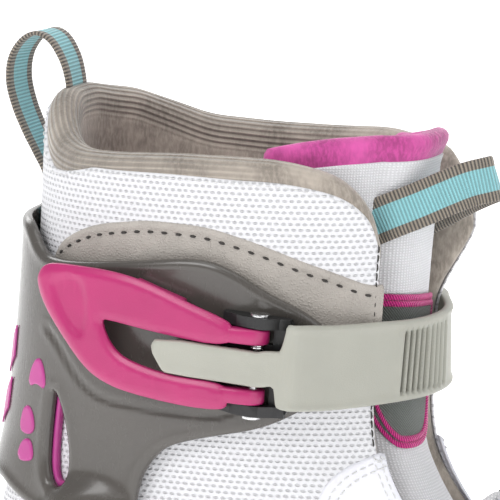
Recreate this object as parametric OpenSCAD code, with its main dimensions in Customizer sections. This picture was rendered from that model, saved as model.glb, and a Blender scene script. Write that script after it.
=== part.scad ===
// Recreational ice skate for the right foot: a soft boot in a hinged plastic cuff,
// closed by a lace and a ratchet buckle, on a plastic holder with a steel runner.
// X points to the toe, Y to the inner side of the foot and Z up from the ice.

/* [Boot] */
// Length of the boot from the heel to the toe
boot_len = 287; // [236:1:346]
// Width of the boot over the ball of the foot
boot_w = 100; // [82:1:121]
// Height of the back of the collar above the ice
collar_h = 300; // [248:1:362]
// Length of the collar from back to front
leg_len = 141; // [116:1:170]
// Width of the collar
leg_w = 94; // [78:1:114]
// Thickness of the padded collar
collar_wall = 11; // [8:0.5:14]
// Thickness of the lower boot's wall
upper_wall = 7; // [5:0.5:9]
// Thickness of the padded tongue
tongue_t = 9; // [7:0.5:11]
// Thickness of the sewn-on panels
panel_t = 0.5; // [0.4:0.1:0.8]
// Width of the pull loops' webbing
webbing_w = 15; // [12:0.5:18]
// Thickness of the webbing
webbing_t = 1.6; // [1.2:0.1:2]

/* [Chassis] */
// Height of the sole above the ice
holder_h = 58; // [48:1:70]
// Thickness of the sole plate
sole_t = 8; // [6:0.5:10]
// Thickness of the footbed
footbed_t = 5; // [4:0.5:6]
// Length of the steel runner
runner_len = 278; // [231:1:335]
// Thickness of the steel runner
runner_t = 3.6; // [3:0.1:4.4]
// Height of the steel runner
runner_h = 33; // [28:1:38]
// Length of the flat stretch that meets the ice
flat_len = 60; // [40:1:80]
// Width of the holder's rail over the runner
rail_w = 12; // [10:0.5:15]
// Radius of the runner's cross bolts
bolt_r = 2.5; // [2:0.1:3]
// Radius of the sole rivets
sole_rivet_r = 2.4; // [2:0.1:3]

/* [Cuff] */
// Thickness of the plastic cuff
cuff_t = 3; // [2.4:0.1:3.6]
// Thickness of the heel counter and the toe cap
counter_t = 2.5; // [2:0.1:3]
// Radius of the ankle pivot pins
pivot_r = 4; // [3:0.1:5]
// Height of the ankle pivot above the footbed
pivot_rise = 86; // [76:1:96]
// Furthest forward lean of the cuff, in degrees
lean_forward = 14; // [6:1:16]
// Furthest backward lean of the cuff, in degrees
lean_back = 4; // [2:1:6]

/* [Buckle] */
// Width of the strap
strap_w = 26; // [22:0.5:31.5]
// Thickness of the strap
strap_t = 2.6; // [2:0.1:3.2]
// Width of the strap's toothed tail
tail_w = 11.5; // [9.5:0.5:14]
// Length of the lever
lever_len = 85; // [70:1:95]
// Thickness of the lever
lever_t = 3.4; // [2.8:0.1:4.2]
// Width of the lever at its widest
lever_w = 39; // [33:0.5:42]
// Width of each of the lever's two arms
arm_w = 6.5; // [5.5:0.5:8]
// Radius of the lever's pin
pin_r = 1.6; // [1.2:0.1:2]
// Radius of the buckle's rivets
rivet_r = 2; // [1.6:0.1:2.4]

/* [Lacing] */
// Diameter of the lace
lace_d = 3.2; // [2.6:0.1:3.8]
// Number of eyelets on each side
eyelets_n = 5; // [3:1:6]

/* [Hidden] */
$fn = 48;

// Running clearance of a pin in its bore, and the gap between faces that slide or rest
run_gap = 0.05;
face_gap = 0.3;

// Places that everything else is worked out from
toe_x = boot_len / 2 + 3.5;
heel_x = toe_x - boot_len;
sole_z = holder_h + sole_t;
footbed_z = sole_z + footbed_t;
leg_x = heel_x + 97;
ankle_z = sole_z + 96;
pivot_z = sole_z + pivot_rise;
pivot_x = heel_x + 59;
split_z = pivot_z + 8;
leg_rise = collar_h - ankle_z;
toe_bend = 5;

// Outline of the boot, level by level: height, front, back, half width, and how much
// wider the front half is than the back half
LEVELS = [
    [sole_z, toe_x - 20, heel_x + 17, 0.38 * boot_w, 0.12],
    [sole_z + 10, toe_x - 6, heel_x + 6, 0.46 * boot_w, 0.10],
    [sole_z + 26, toe_x, heel_x + 1, 0.50 * boot_w, 0.12],
    [sole_z + 42, toe_x - 6, heel_x, 0.49 * boot_w, 0.12],
    [sole_z + 56, toe_x - 25, heel_x + 1, 0.46 * boot_w, 0.10],
    [sole_z + 68, toe_x - 55, heel_x + 3, 0.435 * boot_w, 0.06],
    [sole_z + 80, toe_x - 85, heel_x + 6, 0.415 * boot_w, 0.03],
    [ankle_z, toe_x - 109, heel_x + 10, 0.41 * boot_w, 0],
    [ankle_z + 0.16 * leg_rise, leg_x + 0.48 * leg_len, leg_x - 0.575 * leg_len, 0.43 * leg_w, 0],
    [ankle_z + 0.36 * leg_rise, leg_x + 0.465 * leg_len, leg_x - 0.54 * leg_len, 0.455 * leg_w, 0],
    [ankle_z + 0.61 * leg_rise, leg_x + 0.48 * leg_len, leg_x - 0.515 * leg_len, 0.48 * leg_w, 0],
    [ankle_z + 0.84 * leg_rise, leg_x + 0.50 * leg_len, leg_x - 0.50 * leg_len, 0.50 * leg_w, 0],
    [collar_h, leg_x + 0.51 * leg_len, leg_x - 0.49 * leg_len, 0.51 * leg_w, 0]
];
TOP = len(LEVELS) - 1;
LEVEL_OF_Z = [for (i = [0 : TOP]) [LEVELS[i][0], i]];
// Power of the cosine and sine that squares the outline up a little
squareness = 0.87;

// ---- the boot's skin ----

function knot(i, column) = LEVELS[max(0, min(TOP, i))][column];
function curve(a, b, c, d, f) =
    0.5 * (2 * b + (c - a) * f + (2 * a - 5 * b + 4 * c - d) * f * f
        + (3 * b - a - 3 * c + d) * f * f * f);
function column_at(t, column) =
    let (i = floor(t))
    curve(knot(i - 1, column), knot(i, column), knot(i + 1, column), knot(i + 2, column), t - i);
function z_of(t) = let (i = min(floor(t), TOP - 1)) knot(i, 0) + (t - i) * (knot(i + 1, 0) - knot(i, 0));
function level(z) = lookup(z, LEVEL_OF_Z);
function shaped(x) = sign(x) * pow(abs(x), squareness);
// Point of the skin at level t and angle a from the toe, moved out by d
function skin(t, a, d) =
    let (front = column_at(t, 1) + d,
         back = column_at(t, 2) - d,
         x = (front + back) / 2 + (front - back) / 2 * shaped(cos(a)),
         half = (column_at(t, 3) + d) * (1 + column_at(t, 4) * cos(a)))
    [x, half * shaped(sin(a)) + toe_bend * pow(max(0, x) / toe_x, 2), z_of(t)];
function skin_at(z, a, d) = skin(level(z), a, d);
// Direction of the skin's outline in plan at angle a, in degrees
function heading(z, a) =
    let (p = skin_at(z, a - 0.5, 0), q = skin_at(z, a + 0.5, 0))
    atan2(q[1] - p[1], q[0] - p[0]);
function mix(a, b, f) = a + (b - a) * f;
function grid(rows, columns, place) =
    [for (i = [0 : rows]) [for (j = [0 : columns]) place(i / rows, j / columns)]];

// Closed solid between an outer and an inner grid of points
module slab(outer, inner) {
    rows = len(outer);
    columns = len(outer[0]);
    size = rows * columns;
    function at(i, j) = i * columns + j;
    polyhedron(
        points = concat([for (row = outer) each row], [for (row = inner) each row]),
        faces = [
            for (i = [0 : rows - 2], j = [0 : columns - 2]) each [
                [at(i, j), at(i + 1, j), at(i + 1, j + 1)],
                [at(i, j), at(i + 1, j + 1), at(i, j + 1)],
                [size + at(i, j), size + at(i + 1, j + 1), size + at(i + 1, j)],
                [size + at(i, j), size + at(i, j + 1), size + at(i + 1, j + 1)]
            ],
            for (j = [0 : columns - 2]) each [
                [at(0, j), at(0, j + 1), size + at(0, j + 1)],
                [at(0, j), size + at(0, j + 1), size + at(0, j)],
                [at(rows - 1, j + 1), at(rows - 1, j), size + at(rows - 1, j)],
                [at(rows - 1, j + 1), size + at(rows - 1, j), size + at(rows - 1, j + 1)]
            ],
            for (i = [0 : rows - 2]) each [
                [at(i + 1, 0), at(i, 0), size + at(i, 0)],
                [at(i + 1, 0), size + at(i, 0), size + at(i + 1, 0)],
                [at(i, columns - 1), at(i + 1, columns - 1), size + at(i + 1, columns - 1)],
                [at(i, columns - 1), size + at(i + 1, columns - 1), size + at(i, columns - 1)]
            ]
        ]);
}

// Wall from offset d0 out to offset d1 over the patch that place(u, v, d) gives
module wall(rows, columns, place, d0, d1) {
    slab(grid(rows, columns, function (u, v) place(u, v, d1)),
         grid(rows, columns, function (u, v) place(u, v, d0)));
}

// Tube or band along a route: sides is the list of corners of its section, as [across, out]
module sweep(route, across, out, section) {
    n = len(route);
    m = len(section);
    polyhedron(
        points = [for (i = [0 : n - 1]) for (s = section)
            route[i] + s[0] * across[i] + s[1] * out[i]],
        faces = [
            [for (k = [0 : m - 1]) m - 1 - k],
            for (i = [0 : n - 2], k = [0 : m - 1])
                let (l = (k + 1) % m) each [
                    [i * m + k, i * m + l, (i + 1) * m + l],
                    [i * m + k, (i + 1) * m + l, (i + 1) * m + k]
                ],
            [for (k = [0 : m - 1]) (n - 1) * m + k]
        ]);
}

function unit(v) = v / norm(v);
function steps(route) = [for (i = [0 : len(route) - 1])
    unit(route[min(len(route) - 1, i + 1)] - route[max(0, i - 1)])];
function round_section(d, sides) = [for (k = [0 : sides - 1])
    d / 2 * [cos(360 * k / sides), sin(360 * k / sides)]];

// ---- runner, holder and sole ----

rail_z = 22;
rail_h = 14;
runner_top = runner_h;
bolt_z = 27;
bolt_xs = [heel_x + 42, toe_x - 62];
rocker_r = 2600;
pick_n = 4;
pick_r = 20;

// Height of the runner's edge at x: flat in the middle, then a long arc
function edge_z(x) = pow(max(0, abs(x) - flat_len / 2), 2) / (2 * rocker_r);

module runner_outline() {
    half = runner_len / 2;
    pick_x = half - pick_r;
    pick_z = edge_z(pick_x) + pick_r;
    heel_r = 14;
    heel_cx = -half + heel_r;
    polygon([
        for (k = [0 : 24])
            let (x = mix(heel_cx, pick_x - 6, k / 24)) [x, edge_z(x)],
        // toe picks: saw teeth round the front of the runner
        for (k = [0 : pick_n - 1])
            let (a = -100 + 26 * k) each [
                [pick_x + (pick_r + 0.5) * cos(a), pick_z + (pick_r + 0.5) * sin(a)],
                [pick_x + (pick_r - 2.6) * cos(a + 20), pick_z + (pick_r - 2.6) * sin(a + 20)]
            ],
        [half, pick_z + 2],
        [half - 6, runner_top - 2],
        [half - 16, runner_top],
        [-half + 20, runner_top],
        [-half + 4, runner_top - 6],
        for (k = [0 : 6])
            let (a = 190 + 80 * k / 6)
            [heel_cx + heel_r * cos(a), edge_z(heel_cx) + heel_r + heel_r * sin(a)]
    ]);
}

module runner() {
    color("silver")
    difference() {
        translate([0, runner_t / 2, 0]) rotate([90, 0, 0]) linear_extrude(runner_t) runner_outline();
        for (x = bolt_xs) cross_hole(x, bolt_z, bolt_r + run_gap, runner_t + 2);
    }
}

// Cylinder across the skate at x and z
module cross_hole(x, z, r, length) {
    translate([x, length / 2, z]) rotate([90, 0, 0]) cylinder(r = r, h = length);
}

bolt_head_r = bolt_r * 1.8;
bolt_head_h = 2.4;

module runner_bolts() {
    color("gainsboro")
    for (x = bolt_xs) {
        cross_hole(x, bolt_z, bolt_r, rail_w);
        translate([x, -rail_w / 2, bolt_z]) rotate([90, 0, 0])
            difference() {
                cylinder(r = bolt_head_r, h = bolt_head_h);
                translate([0, 0, bolt_head_h / 2]) cylinder(r = bolt_r * 0.9, h = bolt_head_h, $fn = 6);
            }
        translate([x, rail_w / 2 + bolt_head_h, bolt_z]) rotate([90, 0, 0])
            cylinder(r = bolt_head_r, h = bolt_head_h, $fn = 6);
    }
}

flange_t = 5;
tower_w = 30;
front_tower = [toe_x - 88, toe_x - 38];
rear_tower = [heel_x + 16, heel_x + 66];
front_flange = [toe_x - 120, toe_x - 30];
rear_flange = [heel_x + 24, heel_x + 90];
flange_z = holder_h - flange_t;

// Rounded plate under the sole, w[0] wide at its back and w[1] at its front
module flange(span, w) {
    r = 14;
    translate([0, 0, flange_z])
    linear_extrude(flange_t)
    polygon([
        for (corner = [[1, 1], [-1, 1], [-1, -1], [1, -1]])
            for (k = [0 : 6])
                let (a = atan2(corner[1], corner[0]) - 45 + 15 * k, f = (1 + corner[0]) / 2)
                [mix(span[0], span[1], f) - corner[0] * r + r * cos(a),
                 corner[1] * (mix(w[0], w[1], f) / 2 - r) + r * sin(a)]
    ]);
}

// Side view of the holder: a rail with a tower at each end and a window between
module holder_outline() {
    rail_top = rail_z + rail_h;
    back = heel_x + 14;
    front = toe_x - 26;
    polygon(
        points = [
            [back - 2, rail_z + 4], [back + 6, rail_z], [front + 2, rail_z], [front + 8, rail_z + 6],
            [front + 4, rail_top], [front - 2, rail_top + 6], [front_flange[1] - 4, flange_z + 1],
            [front_flange[0] + 8, flange_z + 1],
            for (k = [0 : 8]) let (f = k / 8)
                [mix(front_flange[0] + 4, rear_flange[1] - 4, f),
                 flange_z - (flange_z - rail_top - 1) * pow(sin(180 * f), 0.5)],
            [rear_flange[1] - 8, flange_z + 1], [rear_flange[0] + 6, flange_z + 1],
            [back - 4, rail_top + 4]
        ]);
}

// Tapered tower: narrow on the rail and wide under the flange
module tower(span) {
    hull() {
        translate([span[0] + 4, -rail_w / 2, rail_z + 6]) cube([span[1] - span[0] - 8, rail_w, 2]);
        translate([span[0], -tower_w / 2, flange_z]) cube([span[1] - span[0], tower_w, 1]);
    }
}

front_w = [0.62 * boot_w, 0.42 * boot_w];
rear_w = [0.36 * boot_w, 0.52 * boot_w];
function rivets(span, w, fs) = [for (f = fs) for (s = [-1, 1])
    [mix(span[0], span[1], f), s * (mix(w[0], w[1], f) / 2 - 8)]];
front_rivets = rivets(front_flange, front_w, [0.12, 0.48, 0.84]);
rear_rivets = rivets(rear_flange, rear_w, [0.2, 0.84]);
sole_rivet_at = concat(front_rivets, rear_rivets);

module blade_holder() {
    color("dimgray")
    difference() {
        union() {
            translate([0, rail_w / 2, 0]) rotate([90, 0, 0]) linear_extrude(rail_w) holder_outline();
            tower(front_tower);
            tower(rear_tower);
            flange(front_flange, front_w);
            flange(rear_flange, rear_w);
        }
        // slot that the runner's upper edge sits in
        translate([-runner_len, -runner_t / 2 - face_gap, 0])
            cube([2 * runner_len, runner_t + 2 * face_gap, runner_top + face_gap]);
        for (x = bolt_xs) cross_hole(x, bolt_z, bolt_r + run_gap, rail_w + 40);
        for (x = bolt_xs, side = [-1, 1])
            translate([x, side * (rail_w / 2 + 10), bolt_z]) rotate([90, 0, 0])
                cylinder(r = bolt_head_r + 1, h = 20, center = true);
        for (p = sole_rivet_at) translate([p[0], p[1], flange_z - 20])
            cylinder(r = sole_rivet_r + run_gap, h = flange_t + 40);
        for (p = sole_rivet_at) translate([p[0], p[1], flange_z - 20])
            cylinder(r = sole_rivet_r * 2, h = 20);
    }
}

// Outline of the skin at level t as a flat polygon
module plan(t, d, from = 0, to = 360) {
    polygon([for (k = [0 : 59]) let (p = skin(t, 360 * k / 60, d)) [p[0], p[1]]]);
}

module sole_plate() {
    color("gray")
    difference() {
        translate([0, 0, holder_h]) linear_extrude(sole_t) plan(0, -2);
        for (p = sole_rivet_at) translate([p[0], p[1], holder_h - 1])
            cylinder(r = sole_rivet_r + run_gap, h = sole_t + 2);
        // seats for the rivet heads under the footbed
        for (p = sole_rivet_at) translate([p[0], p[1], sole_z - 2])
            cylinder(r = sole_rivet_r * 2, h = 4);
    }
}

module sole_rivets() {
    color("silver")
    for (p = sole_rivet_at) translate([p[0], p[1], 0]) {
        translate([0, 0, flange_z - 1.6]) cylinder(r = sole_rivet_r * 1.8, h = 1.6);
        translate([0, 0, flange_z]) cylinder(r = sole_rivet_r, h = flange_t + sole_t - 1.8);
        translate([0, 0, sole_z - 1.9]) cylinder(r = sole_rivet_r * 1.8, h = 1.6);
    }
}

module footbed() {
    color("lightgray")
    translate([0, 0, sole_z]) linear_extrude(footbed_t) plan(0, -upper_wall - 1.5);
}

// ---- lower boot ----

// Half angle of the throat, which the vamp closes below its top level
throat_a = 30;
vamp_top = 4.7;
split_t = level(split_z);

module vamp_wall(d0, d1) {
    wall(8, 8, function (u, v, d) skin(mix(0, vamp_top, u), mix(-throat_a, throat_a, v), d), d0, d1);
}

// Its lower eight rows are the vamp's, so that the two meet face to face
module quarters_wall(d0, d1) {
    wall(12, 30, function (u, v, d)
        skin(u < 2 / 3 ? mix(0, vamp_top, 1.5 * u) : mix(vamp_top, split_t, 3 * u - 2),
             mix(throat_a, 360 - throat_a, v), d), d0, d1);
}

// Everything inside the foot's skin grown by d, to cut from what lies on it
module foot_core(d) {
    vamp_wall(-upper_wall - 5, d);
    quarters_wall(-upper_wall - 5, d);
    // bridges the seam between them
    for (side = [-1, 1])
        wall(8, 2, function (u, v, e) skin(mix(0, vamp_top, u), side * (throat_a + side * mix(-2, 2, v)), e),
             -upper_wall - 5, d);
}

module vamp() {
    color("whitesmoke") vamp_wall(-upper_wall, 0);
}

module quarters() {
    color("whitesmoke") quarters_wall(-upper_wall, 0);
}

// Gap between a shell and the facets of the wall it lies on
lay_gap = 0.1;

// Top level of the toe cap at angle a: a smooth arch over the toes
function cap_top(a) = 4.3 - 2.2 * pow(abs(a) / 60, 2);

module toe_cap() {
    color("dimgray") difference() {
        wall(6, 14, function (u, v, d) let (a = mix(-60, 60, v)) skin(mix(0, cap_top(a), u), a, d),
             -1.5, face_gap + counter_t);
        foot_core(lay_gap);
    }
}

// Angle on the skin at height z where it is at x, behind the skin's middle or not
function angle_at(z, x) =
    let (t = level(z),
         mid = (column_at(t, 1) + column_at(t, 2)) / 2,
         half = (column_at(t, 1) - column_at(t, 2)) / 2,
         f = (x - mid) / half)
    acos(sign(f) * pow(abs(f), 1 / squareness));
function width_at(z, x) = skin_at(z, angle_at(z, x), 0)[1];

pivot_a = angle_at(pivot_z, pivot_x);
ear_r = pivot_r + 7;
hub_r = pivot_r + 13;
cuff_gap = counter_t + 0.7;
cuff_out = cuff_gap + cuff_t;
// The hub turns on a flat face that clears the widest skin inside its circle
hub_in = width_at(pivot_z - hub_r, pivot_x + hub_r) + cuff_gap + 0.4;
hub_out = hub_in + cuff_t + 0.6;
boss_out = hub_in - face_gap;
pin_in = width_at(pivot_z, pivot_x + pivot_r) + 0.4;

// Height of the counter's edge at angle a from the toe: low at the sides, with a
// raised ear at each pivot
function counter_top(a) =
    let (fold = a > 180 ? 360 - a : a,
         ear = max(0, 1 - pow((fold - pivot_a) / 16, 2)),
         side = min(1, max(0, (fold - 62) / 40)))
    sole_z + 22 + side * (pivot_rise - 30) + ear * 15.5;

// Block from deep inside the boot out to offset d of the skin, round one ankle
module ankle_core(side, z0, z1, d) {
    wall(8, 20, function (u, v, e) skin_at(mix(z0, z1, u), side > 0 ? mix(50, 165, v) : mix(195, 310, v), e),
         -25, d);
}

// Disc on the ankle axis, from y0 to y1 out from the middle of the skate
module pivot_disc(side, y0, y1, r) {
    translate([pivot_x, side > 0 ? y1 : -y0, pivot_z]) rotate([90, 0, 0]) cylinder(r = r, h = y1 - y0);
}

module heel_counter() {
    color("dimgray")
    difference() {
        union() {
            wall(6, 36, function (u, v, d)
                let (a = mix(62, 298, v)) skin_at(mix(sole_z, counter_top(a), u), a, d),
                -1.5, face_gap + counter_t);
            for (side = [-1, 1]) pivot_disc(side, pin_in - 3, boss_out, ear_r);
        }
        foot_core(lay_gap);
        for (side = [-1, 1]) {
            // the boss stands clear of the collar, which starts over the lower boot
            ankle_core(side, split_z - 0.3, pivot_z + 20, face_gap);
            pivot_disc(side, 0, boss_out + 5, pivot_r + run_gap);
        }
    }
}

module pivot_pin(side) {
    color("silver")
    difference() {
        union() {
            pivot_disc(side, pin_in, hub_out + face_gap, pivot_r);
            pivot_disc(side, hub_out + face_gap, hub_out + face_gap + 2, pivot_r + 4.5);
        }
        // driver recess in the head
        pivot_disc(side, hub_out + face_gap + 0.8, hub_out + 6, 2.4);
    }
}

module tongue_lower() {
    color("white")
    wall(6, 8, function (u, v, d)
        skin(mix(vamp_top - 0.5, split_t, u), mix(-34, 34, v), d),
        -upper_wall - face_gap - tongue_t, -upper_wall - face_gap);
}

eyestay_t = 1.2;
eyestay_from = vamp_top + 0.15;

module eyestay(side) {
    color("white")
    difference() {
        wall(5, 4, function (u, v, d)
            skin(mix(eyestay_from, split_t, u),
                 side < 0 ? mix(-50, -throat_a - 0.6, v) : mix(throat_a + 0.6, 50, v), d),
            -1.5, eyestay_t);
        quarters_wall(-upper_wall - 5, lay_gap / 2);
        for (k = [0 : eyelets_n - 1]) at_eyelet(k, side) cylinder(r = eyelet_r, h = 12, center = true, $fn = 24);
    }
}

eyelet_r = lace_d / 2 + 0.9;
eyelet_a = 37;
function eyelet_level(k) = mix(vamp_top + 0.45, split_t - 0.22, k / (eyelets_n - 1));
function eyelet_point(k, side, d) = skin(eyelet_level(k), side * eyelet_a, d);

// Places its children on eyelet k with +Z out of the instep
module at_eyelet(k, side) {
    p = eyelet_point(k, side, 0);
    up = unit(skin(eyelet_level(k) + 0.1, side * eyelet_a, 0) - skin(eyelet_level(k) - 0.1, side * eyelet_a, 0));
    around = unit(skin(eyelet_level(k), side * eyelet_a + 1, 0) - skin(eyelet_level(k), side * eyelet_a - 1, 0));
    out = cross(around, up);
    translate(p) multmatrix([
        [around[0], up[0], out[0], 0],
        [around[1], up[1], out[1], 0],
        [around[2], up[2], out[2], 0]
    ]) children();
}

module eyelets() {
    color("silver")
    for (side = [-1, 1], k = [0 : eyelets_n - 1]) at_eyelet(k, side)
        difference() {
            translate([0, 0, eyestay_t + 0.5]) cylinder(r = eyelet_r + 1.4, h = 0.8);
            cylinder(r = eyelet_r - 0.6, h = 9, center = true);
        }
}

// The lace crosses the throat between the eyelets. Where two runs cross, one lies low
// and the other passes over it.
lace_over = eyestay_t + 1.4 + lace_d / 2 + 0.7;
lace_on_tongue = -upper_wall - face_gap + lace_d / 2 + 2.4;
last = eyelets_n - 1;
lace_rise = lace_d + 0.6;
lock_w = 20;
lock_h = 14;
lock_t = 9;
lock_lift = eyestay_t + 2 * lace_d + lock_t / 2 + 2.6;
lock_level = eyelet_level(last) - 0.1;
lock_hole = 6.4;
button_r = 3;
button_travel = 2.5;
tab_level = lock_level - 1.15;

function throat_up(t) = unit(skin(t + 0.1, 0, 0) - skin(t - 0.1, 0, 0));
function throat_out(t) = let (up = throat_up(t)) [up[2], 0, -up[0]];
function throat_point(t, d) = skin(t, 0, 0) + d * throat_out(t);
lock_up = throat_up(lock_level);
lock_out = throat_out(lock_level);
lock_at = throat_point(lock_level, lock_lift);
// Point of the lock's own frame: across the boot, out of the instep and up along it
function lock_point(y, out, up) = lock_at + [0, y, 0] + out * lock_out + up * lock_up;

// Height of a lace run's middle over the skin at angle a, which drops onto the tongue
function lace_height(a, rise) =
    let (f = min(1, max(0, (abs(a) - 9) / 17))) mix(lace_on_tongue + rise, lace_over, f * f * (3 - 2 * f));
function lace_run(k0, side0, k1, side1, rise) = [
    for (i = [0 : 14])
        let (f = i / 14, a = mix(side0, side1, f) * eyelet_a)
        skin(mix(eyelet_level(k0), eyelet_level(k1), f), a, lace_height(a, rise))
];

module lace() {
    color("white") {
        for (k = [0 : last - 1], side = [-1, 1])
            lace_strand(lace_run(k, side, k + 1, -side, side < 0 ? 0 : lace_rise));
        lace_strand(lace_run(0, -1, 0, 1, 0));
        for (side = [-1, 1]) lace_strand([
            eyelet_point(last, side, lace_over),
            mix(eyelet_point(last, side, lace_over), lock_point(side * lock_hole, 0, lock_h / 2 + 4), 0.55)
                + 2 * lock_out,
            lock_point(side * lock_hole, 0, lock_h / 2 + 3),
            lock_point(side * lock_hole, 0, lock_h / 2),
            lock_point(side * lock_hole, 0, -lock_h / 2 - 3),
            mix(lock_point(side * lock_hole, 0, -lock_h / 2), lock_point(side * 3.4, 0, -lock_h / 2 - 22), 0.55)
                - 0.5 * lock_out,
            lock_point(side * 3.4, -1, -lock_h / 2 - 22),
            lock_point(side * 3.4, -1, -lock_h / 2 - 26)
        ]);
    }
}

module lace_strand(route) {
    along = steps(route);
    across = [for (s = along) unit(cross(s, lock_out))];
    sweep(route, across, [for (i = [0 : len(route) - 1]) cross(across[i], along[i])],
          round_section(lace_d, 8));
}

// Places its children in the lock's frame: X out of the instep, Y across, Z up along it
module at_lock() {
    translate(lock_at) multmatrix([
        [lock_out[0], 0, lock_up[0], 0],
        [lock_out[1], 1, lock_up[1], 0],
        [lock_out[2], 0, lock_up[2], 0]
    ]) children();
}

module lace_lock() {
    color("black") at_lock() difference() {
        translate([-lock_t / 2, 0, -lock_h / 2]) linear_extrude(lock_h) rounded(lock_t, lock_w, 3);
        for (side = [-1, 1]) translate([0, side * lock_hole, -lock_h])
            cylinder(r = lace_d / 2 + 0.15, h = 2 * lock_h);
        translate([0, 0, -lock_h / 2 + 3]) cylinder(r = button_r + run_gap, h = lock_h);
    }
}

// Rectangle from x = 0 to w, h wide in Y, with round corners
module rounded(w, h, r) {
    polygon([for (corner = [[1, 1], [-1, 1], [-1, -1], [1, -1]], k = [0 : 6])
        let (a = atan2(corner[1], corner[0]) - 45 + 15 * k)
        [w / 2 + corner[0] * (w / 2 - r) + r * cos(a), corner[1] * (h / 2 - r) + r * sin(a)]]);
}

module lace_lock_button() {
    color("black") at_lock() translate([0, 0, -lock_h / 2 + 8]) cylinder(r = button_r, h = lock_h - 8 + 4);
}

module lace_lock_spring() {
    color("silver") at_lock()
        coil(0.6, 1.9, 4, -lock_h / 2 + 3.35, -lock_h / 2 + 7.65);
}

// Round wire of diameter d wound on radius r, from z0 to z1 along Z
module coil(d, r, turns, z0, z1) {
    n = 10 * turns;
    route = [for (i = [0 : n]) [r * cos(36 * i), r * sin(36 * i), mix(z0, z1, i / n)]];
    out = [for (i = [0 : n]) [cos(36 * i), sin(36 * i), 0]];
    along = steps(route);
    sweep(route, [for (i = [0 : n]) unit(cross(along[i], out[i]))], out, round_section(d, 5));
}

module lace_pull_tab() {
    color("black") at_lock() difference() {
        translate([-4.4, 0, -lock_h / 2 - 38]) linear_extrude(14) rounded(6.8, 15, 2.6);
        for (side = [-1, 1]) translate([-1, side * 3.4, -lock_h / 2 - 27])
            cylinder(r = lace_d / 2 + 0.15, h = 10);
    }
}

// ---- padded collar and tongue, which lean with the cuff ----

flap_lateral = 31;
flap_medial = 27;

// Lowest height of the leaning parts at x, which leaves room over the lower boot
function leg_bottom(x) = split_z + 1
    + max(0, x - pivot_x) * tan(lean_forward + 1.5) + max(0, pivot_x - x) * tan(lean_back + 1.5);
function leg_bottom_at(a) = leg_bottom(skin_at(split_z + 12, a, 0)[0]);
leg_scale = leg_rise / 138;
// How far the collar's rim lies under its highest point, by angle from the front
RIM_DROP = [
    // inner side
    [[0, 60], [27, 44], [31, 30], [35, 21], [42, 16], [50, 15], [60, 13.8], [80, 15], [95, 15], [115, 13.4],
     [130, 8.4], [145, 3.8], [160, 2], [172, 0], [180, 0]],
    // outer side
    [[0, 60], [27, 46], [30, 41], [34, 34], [39, 28], [44, 23], [51, 19], [62, 16], [70, 14.5], [80, 14],
     [95, 14], [115, 15.5], [130, 16], [142, 14], [152, 9], [162, 3], [172, 0], [180, 0]]
];
function rim_z(a) = collar_h - leg_scale * lookup(a > 180 ? 360 - a : a, RIM_DROP[a > 180 ? 1 : 0]);
rim_r = collar_wall / 2;

// How far the inner side's flap stands open at its front edge
function soft(f) = let (g = max(0, min(1, f))) g * g * (3 - 2 * g);
function flare(z, a) = a < 90 ? 13 * pow(max(0, 1 - (a - flap_medial) / 28), 1.5) * soft((z - 228) / 32) : 0;

// Point of the padded collar: u runs from the bottom to the rim, and d is 0 on the
// outside and -collar_wall on the inside, closing in a round rim at the top
function collar_point(u, a, d) =
    let (top = rim_z(a),
         bend = max(0, (u - 0.75) / 0.25) * 76,
         z = u < 0.75 ? mix(leg_bottom_at(a), top - rim_r, u / 0.75) : top - rim_r + rim_r * sin(bend),
         e = -rim_r + (d + rim_r) * cos(bend))
    skin_at(z, a, e + flare(z, a));

slot_x = leg_x - 0.45 * leg_len;
slot_z = collar_h - 16;

module collar_wall_between(d0, d1) {
    wall(16, 38, function (u, v, d) collar_point(u, mix(flap_medial, 360 - flap_lateral, v), d), d0, d1);
}

module collar() {
    color("white") difference() {
        collar_wall_between(-collar_wall, 0);
        // seam that the heel loop's inner end is sewn into
        translate([slot_x - webbing_t / 2 - 0.1, -webbing_w / 2 - 0.3, slot_z])
            cube([webbing_t + 0.2, webbing_w + 0.6, 40]);
    }
}

PANEL_TOP = [[38, 244.5], [41, 245.5], [50, 249], [61, 253], [75, 259], [88, 263.5], [100, 264],
             [116, 261], [126, 257], [136, 251], [141, 240]];
function on_leg(z) = ankle_z + (z - 162) * leg_scale;

module collar_panel(side) {
    color("beige") difference() {
        wall(5, 18, function (u, v, d)
            let (fold = side < 0 ? mix(141, flap_lateral + 1, v) : mix(flap_medial + 6, 141, v),
                 a = side < 0 ? 360 - fold : fold,
                 z = on_leg(mix(214, lookup(max(38, fold), PANEL_TOP), u)))
            skin_at(z, a, d + flare(z, a)),
            -1.5, 0.2 + panel_t);
        collar_wall_between(-collar_wall - 4, lay_gap);
    }
}

// Half angle that the tongue covers, at its foot and at the top of its wings
tongue_foot = 46;
tongue_wing = 76;
tongue_bulge = 6;
tongue_in = collar_wall + face_gap;
tongue_r = tongue_t / 2;
// Depth of the tongue's outer face: it swells forward between the flaps
function tongue_d(a) = -tongue_in + tongue_bulge * max(0, 1 - pow(abs(a) / flap_medial, 3));
function tongue_top(a) = collar_h - leg_scale * (8 + 5 * pow(abs(a) / tongue_wing, 4));

module tongue_wall(d0, d1) {
    wall(12, 20, function (u, v, d)
        let (f = 2 * v - 1,
             a = f * mix(tongue_foot, tongue_wing, min(1, u * 1.3)),
             bend = max(0, (u - 0.7) / 0.3) * 74,
             top = tongue_top(a) - tongue_r,
             z = u < 0.7 ? mix(leg_bottom_at(a), top, u / 0.7) : top + tongue_r * sin(bend),
             thin = 1 - 0.5 * pow(abs(f), 3))
        skin_at(z, a, tongue_d(a) + thin * (-tongue_r + (d + tongue_r) * cos(bend))),
        d0, d1);
}

module tongue_upper() {
    color("white") tongue_wall(-tongue_t, 0);
}

badge_t = 1.2;
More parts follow.
